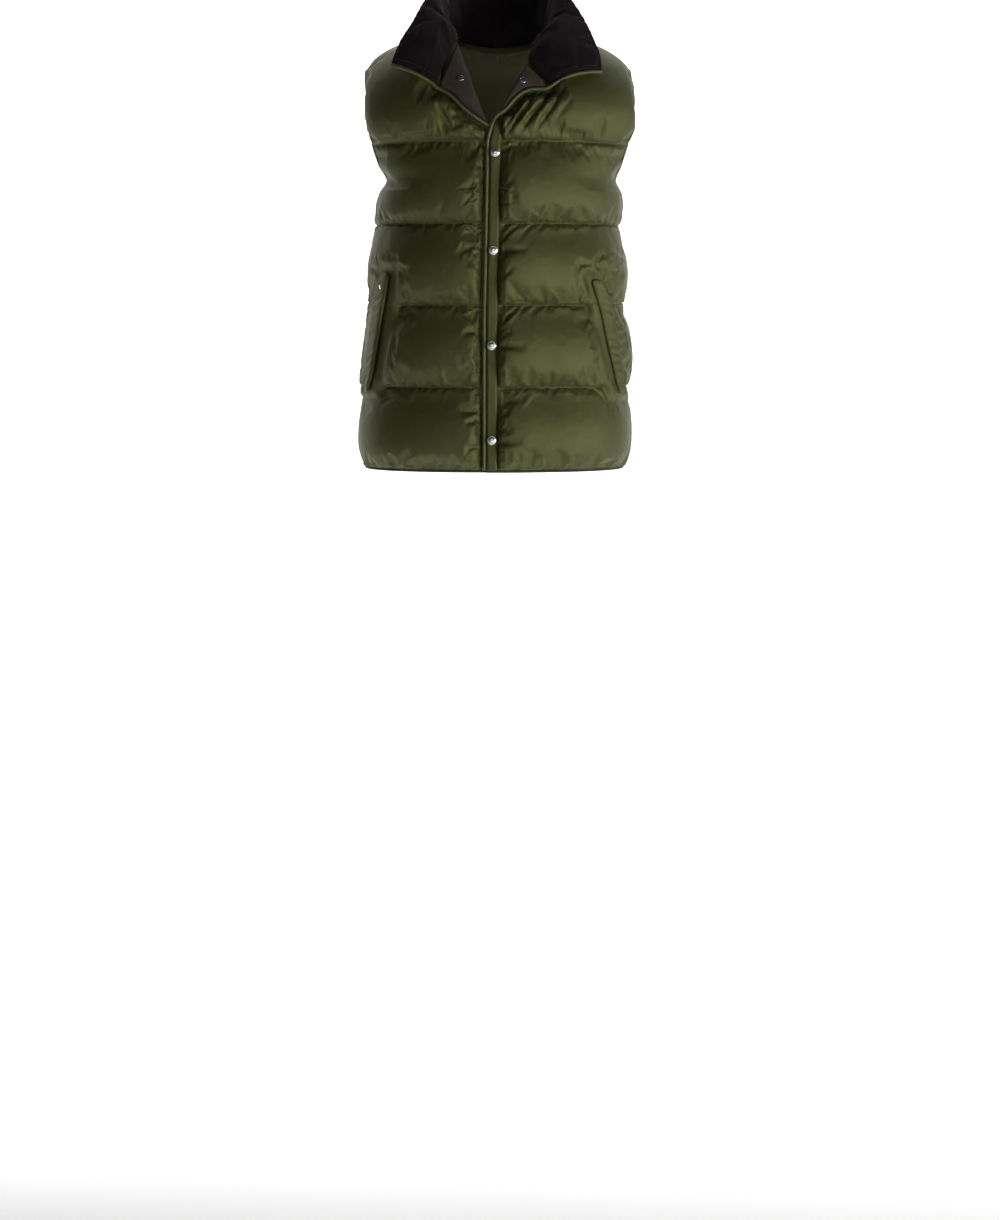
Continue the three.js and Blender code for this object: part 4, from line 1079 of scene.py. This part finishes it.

# Neck tape
# A narrow strip of the dark inner nylon, sewn flat over the collar seam inside the neck.
TAPE_HALF = 5.5
TAPE_THICK = 1.1
TAPE_OFFSET = 1.2
NECK_MIDDLE_Y = 20
tape_columns = np.arange(2 * COLLAR_COLUMNS, 13 * COLLAR_COLUMNS + 1)
tape_line = seam_rail[tape_columns]
tape_inward = unit(
    np.stack([-tape_line[:, 0], NECK_MIDDLE_Y - tape_line[:, 1], 0 * tape_line[:, 0]], axis=-1)
)
tape_steps = np.linspace(-1, 1, 7)[:, None, None]
tape_under = tape_line + tape_inward * TAPE_OFFSET + np.array([0, 0, 1]) * TAPE_HALF * tape_steps
tape_round = TAPE_THICK * (0.3 + 0.7 * beside_edge(1 - np.abs(tape_steps), 0.4))
tape_over = tape_under + tape_inward * tape_round
tape = wall_mesh("neck_tape", tape_under, tape_over, 1, lining_cloth)
sewn_on(tape)

# Edge piping
# A corded strip of lighter nylon, sewn in up both front edges, round the turned-out neck and along
# the short front ends of the collar.
PIPING_RADIUS = 2.6
PIPING_START = (-9, -128)
PIPING_CLIMB = {"rise": [0.06, 0.18, 0.34], "high": [0.5, 3, 5.4]}
PIPING_STEP = 3.5


def cord_mesh(name, path, normals, radius, closed, material, sides=12):
    """A round cord of cloth along a path."""
    path, normals = np.array(path, float), np.array(normals, float)
    count = len(path)
    before = np.roll(path, 1, axis=0)
    after = np.roll(path, -1, axis=0)
    if not closed:
        before[0], after[-1] = path[0], path[-1]
    tangent = unit(after - before)
    across = unit(np.cross(tangent, normals))
    out = np.cross(across, tangent)
    angles = (np.arange(sides) + 0.5) / sides * 2 * math.pi
    rings = (
        path[:, None]
        + across[:, None] * (radius * np.cos(angles))[None, :, None]
        + out[:, None] * (radius * np.sin(angles))[None, :, None]
    )
    faces = []
    for i in range(count if closed else count - 1):
        for k in range(sides):
            n, m = (i + 1) % count, (k + 1) % sides
            faces.append((i * sides + k, i * sides + m, n * sides + m, n * sides + k))
    if not closed:
        faces.append(tuple(range(sides - 1, -1, -1)))
        faces.append(tuple((count - 1) * sides + k for k in range(sides)))
    return add_mesh(name, rings.reshape(-1, 3), faces, [material])


def eased(path, normals, spacing):
    """The path as a smooth curve at even steps."""
    path = np.array(path, float)
    way = way_along(path)
    places = np.linspace(0, way[-1], int(way[-1] / spacing) + 1)
    line, turn = at_ways(places, way, path), at_ways(places, way, np.array(normals))
    for _ in range(6):
        line[1:-1] = (line[:-2] + 2 * line[1:-1] + line[2:]) / 4
        turn[1:-1] = (turn[:-2] + 2 * turn[1:-1] + turn[2:]) / 4
    return line, unit(turn), way[-1]


piping_cloth = satin_nylon("piping_nylon", (0.06, 0.07, 0.03), (0.075, 0.086, 0.038))
for side in ("right", "left"):
    path, path_normals = [], []
    if side == "left":
        for i in range(left_base.shape[0] - 1, 0, -1):
            rise_here = 1 - i / YOKE_ROWS
            if rise_here > PIPING_CLIMB["rise"][-1]:
                break
            beside_placket = i >= PLACKET_TOP
            outside = placket_top[2 * (i - PLACKET_TOP), 0] if beside_placket else left_outer[i, 0]
            across = left_base[i, 0] - left_base[i, 2]
            across /= np.linalg.norm(across)
            climb = float(np.interp(rise_here, *PIPING_CLIMB.values())) if rise_here > 0 else 0
            point = (left_base[i, 0] + outside) / 2 + across * (2 * GAP + PIPING_RADIUS)
            path.append(point + left_normals[i, 0] * climb)
            path_normals.append(left_normals[i, 0])
    if side == "right":
        point, normal = over_front(side, *PIPING_START, WALL + 1)
        path.append(point)
        path_normals.append(normal)
    for rise_here in np.linspace(0, 1, 9):
        x, z = turned_place(side, rise_here, 1)
        x0, z0 = turned_place(side, max(0, rise_here - 0.1), 1)
        x1, z1 = turned_place(side, min(1, rise_here + 0.1), 1)
        off = np.array([z1 - z0, x0 - x1])
        off *= -np.sign(off[1]) / np.linalg.norm(off)
        reach = 4 * GAP + PIPING_RADIUS
        lift = turned_lift(rise_here, 1) + FACING_THICK / 2 + 1.8
        point, normal = over_front(side, x + off[0] * reach, z + off[1] * reach, lift)
        path.append(point)
        path_normals.append(normal)
    column, inner_column = (0, 1) if side == "right" else (-1, -2)
    for i in range(3, COLLAR_RISES, 3):
        off = collar_grid[i, column] - collar_grid[i, inner_column]
        off /= np.linalg.norm(off)
        path.append(collar_grid[i, column] + off * (GAP + PIPING_RADIUS))
        path_normals.append(collar_normals[i, column])
    line, turn, length = eased(path, path_normals, PIPING_STEP)
    piping = cord_mesh("edge_piping_cord_" + side, line, turn, PIPING_RADIUS, False, piping_cloth)
    sewn_on(piping, "edge_piping_" + side)

# Armhole and hem bindings
# The armholes are bound narrowly in the shell nylon, and the hem in a narrow woven tape whose dark brown
# colour is painted shade, for the shadowed underside of the last channel.
BINDING_RADIUS = 2.1
BINDING_HUG = 0.35


def mid_edge(base, outer, i, j):
    return (base[i, j] + outer[i, j]) / 2


for side in ("right", "left"):
    base, outer, normals = fronts[side]
    back_column = -1 if side == "left" else 0
    foot = next(i for i in range(1, len(base)) if abs(base[i, -1, 1]) < 2)
    front_edge = [(mid_edge(base, outer, i, -1), normals[i, -1]) for i in range(foot)]
    back_edge = [
        (mid_edge(back_base, back_outer, i, back_column), back_normals[i, back_column])
        for i in range(foot - 1, 0, -1)
    ]
    path, path_normals = [], []
    for point, normal in front_edge + back_edge:
        inward = np.array([0, -point[1], ARMHOLE_MIDDLE - point[2]])
        inward -= normal * inward.dot(normal)
        inward /= np.linalg.norm(inward)
        path.append(point + inward * (BINDING_RADIUS - BINDING_HUG))
        path_normals.append(normal)
    name = "armhole_binding_strip_" + side
    binding = cord_mesh(name, path, path_normals, BINDING_RADIUS, True, olive_cloth)
    way = sum(np.linalg.norm(path[i] - path[i - 1]) for i in range(len(path)))
    way *= MM
    sewn_on(binding, "armhole_binding_" + side)

# Painted shade: the hem tape's dark brown stands for the shadow on the underside of the last channel.
hem_tape_shade_cloth = matt_cloth("hem_tape_painted_shade", (0.05, 0.032, 0.02), (0.066, 0.043, 0.028), 0.8, 0.1)
hem_path, hem_normals = [], []
for base, outer, normals in (
    (left_base[:, :-1], left_outer[:, :-1], left_normals[:, :-1]),
    (back_base[:, ::-1], back_outer[:, ::-1], back_normals[:, ::-1]),
    (right_base[:, -2::-1], right_outer[:, -2::-1], right_normals[:, -2::-1]),
):
    for j in range(0, base.shape[1], 2):
        hem_path.append(mid_edge(base, outer, -1, j) + [0, 0, 0.5 - BINDING_RADIUS])
        hem_normals.append(normals[-1, j])
hem = cord_mesh("hem_tape", hem_path, hem_normals, BINDING_RADIUS, False, hem_tape_shade_cloth)
hem_length = sum(np.linalg.norm(hem_path[i] - hem_path[i - 1]) for i in range(1, len(hem_path)))
hem_length *= MM
sewn_on(hem, "hem_binding")

# Pocket welts
# Slanted strips of the shell nylon, folded and sewn over each pocket mouth across a quilting seam.
WELT_THICK = 2.6
WELT_STEPS = (97, 13)
welt_rows = []


def welt_place(side, z, off, lift):
    x = read(POCKETS[side], "z", "x", z)
    turn = turn_at("front", side, x, z)
    step = 0.01

    def at(t, pz):
        return body_point("front", side, t, pz)

    across = np.linalg.norm(at(turn + step, z) - at(turn - step, z), axis=-1)
    place = turn + off * 2 * step / across
    normal = np.cross(at(place + step, z) - at(place - step, z), at(place, z + 1) - at(place, z - 1))
    normal = unit(normal * -np.sign(normal[..., 1:2]))
    return at(place, z) + normal * np.asarray(lift)[..., None], normal


for side in ("right", "left"):
    pocket = POCKETS[side]
    heights_here, shares_here = np.meshgrid(
        np.linspace(pocket["z"][0], pocket["z"][-1], WELT_STEPS[0]),
        np.linspace(-0.5, 0.5, WELT_STEPS[1]),
        indexing="ij",
    )
    above, below = pocket["z"][0] - heights_here, heights_here - pocket["z"][-1]
    wide = read(pocket, "z", "wide", heights_here)
    wide *= (0.5 + 0.5 * beside_edge(above, 9)) * (0.3 + 0.7 * beside_edge(below, 18))
    under = WALL + POCKET_LOFT + 2 * GAP
    draw = random.Random(41 + len(side))
    wave = sum(
        draw.uniform(0.3, 0.7)
        * np.sin(heights_here / draw.uniform(1.6, 5) + shares_here * draw.uniform(2, 6))
        for _ in range(5)
    )
    round_off = beside_edge(0.5 - np.abs(shares_here), 0.2)
    ends = beside_edge(np.minimum(above, below), 9)
    mouth = smooth(sign_of(side) * shares_here + 0.5) * smooth(ends)
    low_lift = under + 2.4 * mouth
    lift = low_lift + WELT_THICK * (0.45 + 0.55 * round_off) + (0.45 * wave + 0.8) * round_off * ends
    low = welt_place(side, heights_here, shares_here * wide, low_lift)[0]
    high = welt_place(side, heights_here, shares_here * wide, lift)[0]
    welt = wall_mesh("welt_strip_" + side, low, high, 1, olive_cloth)
    sewn_on(welt, "pocket_welt_" + side)
    welt_normals = grid_normals(high, high - low)
    for column in (2, -3):
        welt_rows.append((high[3:-3, column], welt_normals[3:-3, column]))
    for row in (3, -4):
        welt_rows.append((high[row, 2:-2], welt_normals[row, 2:-2]))

# Snaps
# Pressed nickel caps: a low dome with a rolled rim, four down the placket, small ones on the facings
# and one on the right pocket's welt.
SNAP_SIZE = (6.75, 3.4)
SMALL_SNAP_SIZE = (4.6, 1.8)
POCKET_SNAP_SIZE = (4.5, 1.8)
SMALL_SNAP_PLACE = {"right": (0.72, 0.45), "left": (0.72, 0.5)}
POCKET_SNAP_Z = -358.0
PLACKET_PUFF = 1.2
CAP_STEPS = 48
# Rings of a cap from its foot to its crown: share of the radius, share of the height
CAP_RINGS = [
    (0.9, 0),
    (0.98, 0.12),
    (1, 0.3),
    (0.98, 0.48),
    (0.92, 0.6),
    (0.87, 0.66),
    (0.82, 0.62),
    (0.76, 0.7),
    (0.6, 0.82),
    (0.34, 0.92),
]
nickel, nodes, links, shader, place = new_material(
    "polished_nickel", (0.82, 0.82, 0.78), 0.24, {"Metallic": 1}
)
bumps(nodes, links, shader, [(noise(nodes, links, place, 700, 2), 0.00002)])


def snap_cap(name, size, place, normal, node):
    radius, height = size
    axis = np.array(normal) / np.linalg.norm(normal)
    across = np.cross(axis, [0, 0, 1])
    across /= np.linalg.norm(across)
    up = np.cross(axis, across)
    vertices = [np.array(place), np.array(place) + axis * height]
    for share, rise_share in CAP_RINGS:
        for k in range(CAP_STEPS):
            angle = 2 * math.pi * k / CAP_STEPS
            ring = (across * math.cos(angle) + up * math.sin(angle)) * share * radius
            vertices.append(np.array(place) + ring + axis * rise_share * height)
    faces = []
    crown = 2 + (len(CAP_RINGS) - 1) * CAP_STEPS
    for k in range(CAP_STEPS):
        n = (k + 1) % CAP_STEPS
        faces.append((0, 2 + n, 2 + k))
        faces.append((1, crown + k, crown + n))
        for a in range(2, crown, CAP_STEPS):
            faces.append((a + k, a + n, a + CAP_STEPS + n, a + CAP_STEPS + k))
    cap = add_mesh(name, vertices, faces, [nickel])
    sewn_on(cap, node)


over_placket = WALL + GAP + PLACKET_THICK + PLACKET_PUFF + 2 * GAP
for i, z in enumerate(SNAP_HEIGHTS):
    point, normal = over_front("left", read(PLACKET, "z", "x", z), z, over_placket)
    snap_cap(f"snap_cap_{i + 1}", SNAP_SIZE, point, normal, f"front_snap_{i + 1}")
for side, (rise_here, share) in SMALL_SNAP_PLACE.items():
    x, z = turned_place(side, rise_here, share)
    point, normal = over_front(side, x, z, turned_lift(rise_here, share) + FACING_THICK + 2 * GAP)
    snap_cap("small_snap_" + side, SMALL_SNAP_SIZE, point, normal, "facing_snap_" + side)
point, normal = welt_place("right", POCKET_SNAP_Z, 0.0, WALL + POCKET_LOFT + WELT_THICK + 4 * GAP)
snap_cap("pocket_snap_cap", POCKET_SNAP_SIZE, point, normal, "pocket_snap_right")

# Stitching
# Thread of the cloth's own colour: along each quilting seam, beside the placket's and the hem's edges,
# round the armholes and the welts, and in brown thread along the collar and the turned-out fronts.
STITCH_LENGTH = 2.6
STITCH_STEP = 3.9
STITCH_RADIUS = 0.36
STITCH_SIDES = 6
# Rings of a stitch: share of its length, of its radius, and how far it rises
STITCH_RINGS = [(-0.5, 0.35, -0.5), (-0.3, 1, 0), (0, 1, 0.15), (0.3, 1, 0), (0.5, 0.35, -0.5)]


def thread_cloth(name, colour):
    material, nodes, links, shader, place = new_material(name, colour, 0.6, {"Sheen Weight": 0.1})
    bumps(nodes, links, shader, [(noise(nodes, links, place, 1800, 2), 0.00008)])
    return material


def stitch_rows(name, rows, material):
    """One joined piece of stitches, each a short thread sunk at both ends, along rows on the cloth."""
    vertices, faces = [], []
    angles = np.arange(STITCH_SIDES) / STITCH_SIDES * 2 * math.pi
    for points, normals in rows:
        points, normals = np.array(points, float), np.array(normals, float)
        way = way_along(points)
        places = np.arange(STITCH_STEP / 2, way[-1] - STITCH_STEP / 2, STITCH_STEP)
        middle, turn = at_ways(places, way, points), at_ways(places, way, normals)
        along = unit(at_ways(places + 0.8, way, points) - at_ways(places - 0.8, way, points))
        across = unit(np.cross(turn, along))
        up = np.cross(along, across)
        for c, t, a, u in zip(middle, along, across, up):
            start = len(vertices)
            for share, round_share, rise_share in STITCH_RINGS:
                centre = c + t * share * STITCH_LENGTH + u * (0.15 + rise_share * STITCH_RADIUS)
                for angle in angles:
                    spoke = a * math.cos(angle) + u * math.sin(angle)
                    vertices.append(centre + spoke * STITCH_RADIUS * round_share)
            last = start + (len(STITCH_RINGS) - 1) * STITCH_SIDES
            for b in range(start, last, STITCH_SIDES):
                for k in range(STITCH_SIDES):
                    n = (k + 1) % STITCH_SIDES
                    faces.append((b + k, b + n, b + STITCH_SIDES + n, b + STITCH_SIDES + k))
            faces.append(tuple(start + k for k in range(STITCH_SIDES - 1, -1, -1)))
            faces.append(tuple(last + k for k in range(STITCH_SIDES)))
    piece = add_mesh(name, vertices, faces, [material])
    sewn_on(piece)


olive_thread = thread_cloth("olive_thread", (0.05, 0.06, 0.018))
brown_thread = thread_cloth("brown_thread", (0.022, 0.014, 0.013))
seam_rows = []
for outer, normals, first in (
    (left_outer, left_normals, 7),
    (right_outer, right_normals, 10),
    (back_outer, back_normals, 1),
):
    for k in range(4):
        row = YOKE_ROWS + CHANNEL_ROWS * k
        seam_rows.append((outer[row, first:-1], normals[row, first:-1]))
    seam_rows.append((outer[-2, first:-1], normals[-2, first:-1]))
stitch_rows("quilting_stitches", seam_rows, olive_thread)

edge_rows = [(placket_top[:, k], placket_normals[:, k]) for k in (3, -4)]
for side, (base, outer, normals) in fronts.items():
    foot = next(i for i in range(1, len(outer)) if abs(base[i, -1, 1]) < 2)
    edge_rows.append((outer[1:foot, -2], normals[1:foot, -2]))
    column = -2 if side == "left" else 1
    edge_rows.append((back_outer[1:foot, column], back_normals[1:foot, column]))
stitch_rows("edge_stitches", edge_rows + welt_rows, olive_thread)

collar_rows = []
top_row = int(np.argmin(np.abs(collar_up[:, 0] - (COLLAR_HEIGHT - 7))))
collar_rows.append((facing_over[top_row, 2:-2], collar_normals[top_row, 2:-2]))
for column in (2, -3):
    collar_rows.append((facing_over[3:top_row, column], collar_normals[3:top_row, column]))
stitch_rows("collar_stitches", collar_rows + turned_rows, brown_thread)

# Studio
# A pale floor that curves up into a white wall, low lights from the right of the view and the front,
# a pale card behind the camera for the snaps to mirror, and the camera at the photograph's place.
FLOOR_Z = -1.62
SWEEP = {"front": -7.0, "back": 2.2, "bend": 1.2, "top": 3.2, "half": 6.0}
SWEEP_STEPS = 16
# From one span to another: depth to the paper's glow, height to the sky's strength
PAPER_GLOW = (-1.0, -0.2, 0.03, 0.6)
SKY_FADE = (0.0, 0.3, 0.18, 0.02)
# Place, aim, size and power
LIGHTS = {
    "key": ((2.5, -2.3, -0.68), (0, 0, -0.45), (1.4, 0.6), 62),
    "front": ((0.3, -3.4, -1.45), (0, 0, -0.35), (1.8, 0.4), 6),
    "card": ((0.3, -5.8, 0.1), (0, 0, -0.4), (2.2, 1.6), 12),
    "paper": ((0.0, 0.5, 0.9), (0, 2.4, -0.6), (4.0, 0.8), 60),
}
SENSOR = 24
CAMERA_PLACE = (0.003, -5.0, -0.3)
AIM = (0.003, -0.14, -0.83)
VIEW_HEIGHT = 1.793


def ranged(nodes, links, source, spans, target):
    """Passes a value on from one span of numbers to another."""
    span = nodes.new("ShaderNodeMapRange")
    for socket, value in zip(("From Min", "From Max", "To Min", "To Max"), spans):
        span.inputs[socket].default_value = value
    links.new(source, span.inputs["Value"])
    links.new(span.outputs["Result"], target)


# White paper that glows from under the object back, as a backdrop lit from behind does
paper, nodes, links, shader, place = new_material(
    "white_paper", (0.85, 0.85, 0.85), 0.9, {"Emission Color": (1, 1, 1, 1)}
)
split = nodes.new("ShaderNodeSeparateXYZ")
links.new(place, split.inputs["Vector"])
ranged(nodes, links, split.outputs["Y"], PAPER_GLOW, shader.inputs["Emission Strength"])
bumps(nodes, links, shader, [(noise(nodes, links, place, 6, 2), 0.0002)])

bend, back_y = SWEEP["bend"], SWEEP["back"]
profile = [(SWEEP["front"], FLOOR_Z)]
for k in range(SWEEP_STEPS + 1):
    angle = math.pi / 2 * k / SWEEP_STEPS
    profile.append((back_y - bend + bend * math.sin(angle), FLOOR_Z + bend - bend * math.cos(angle)))
profile.append((back_y, SWEEP["top"]))
vertices = [(x, y, z) for y, z in profile for x in (-SWEEP["half"], SWEEP["half"])]
faces = [(2 * i, 2 * i + 1, 2 * i + 3, 2 * i + 2) for i in range(len(profile) - 1)]
mesh = bpy.data.meshes.new("studio_sweep")
mesh.from_pydata(vertices, [], faces)
mesh.shade_smooth()
mesh.materials.append(paper)
sweep = bpy.data.objects.new("studio_sweep", mesh)
bpy.context.scene.collection.objects.link(sweep)

for name, (place, aim, size, power) in LIGHTS.items():
    light = bpy.data.lights.new(name, "AREA")
    light.shape = "RECTANGLE"
    light.size, light.size_y = size
    light.energy = power
    lamp = bpy.data.objects.new(name, light)
    lamp.location = place
    direction = np.array(aim) - np.array(place)
    yaw = math.atan2(direction[0], -direction[1])
    pitch = math.atan2(-direction[2], math.hypot(direction[0], direction[1]))
    lamp.rotation_euler = (math.pi / 2 - pitch, 0, yaw + math.pi)
    bpy.context.scene.collection.objects.link(lamp)

world = bpy.data.worlds.new("studio")
bpy.context.scene.world = world
world.use_nodes = True
nodes, links = world.node_tree.nodes, world.node_tree.links
sky = nodes["Background"].inputs
sky["Color"].default_value = (0.8, 0.8, 0.8, 1)
direction = nodes.new("ShaderNodeTexCoord")
split = nodes.new("ShaderNodeSeparateXYZ")
links.new(direction.outputs["Generated"], split.inputs["Vector"])
ranged(nodes, links, split.outputs["Z"], SKY_FADE, sky["Strength"])

camera_data = bpy.data.cameras.new("camera")
camera_data.sensor_fit = "VERTICAL"
camera_data.sensor_height = SENSOR
reach = math.dist(CAMERA_PLACE, AIM)
camera_data.lens = SENSOR * reach / VIEW_HEIGHT
camera = bpy.data.objects.new("camera", camera_data)
camera.location = CAMERA_PLACE
tilt = math.atan2(AIM[2] - CAMERA_PLACE[2], AIM[1] - CAMERA_PLACE[1])
camera.rotation_euler = (math.pi / 2 + tilt, 0, 0)
bpy.context.scene.collection.objects.link(camera)
bpy.context.scene.camera = camera
bpy.context.scene.view_settings.view_transform = "Standard"
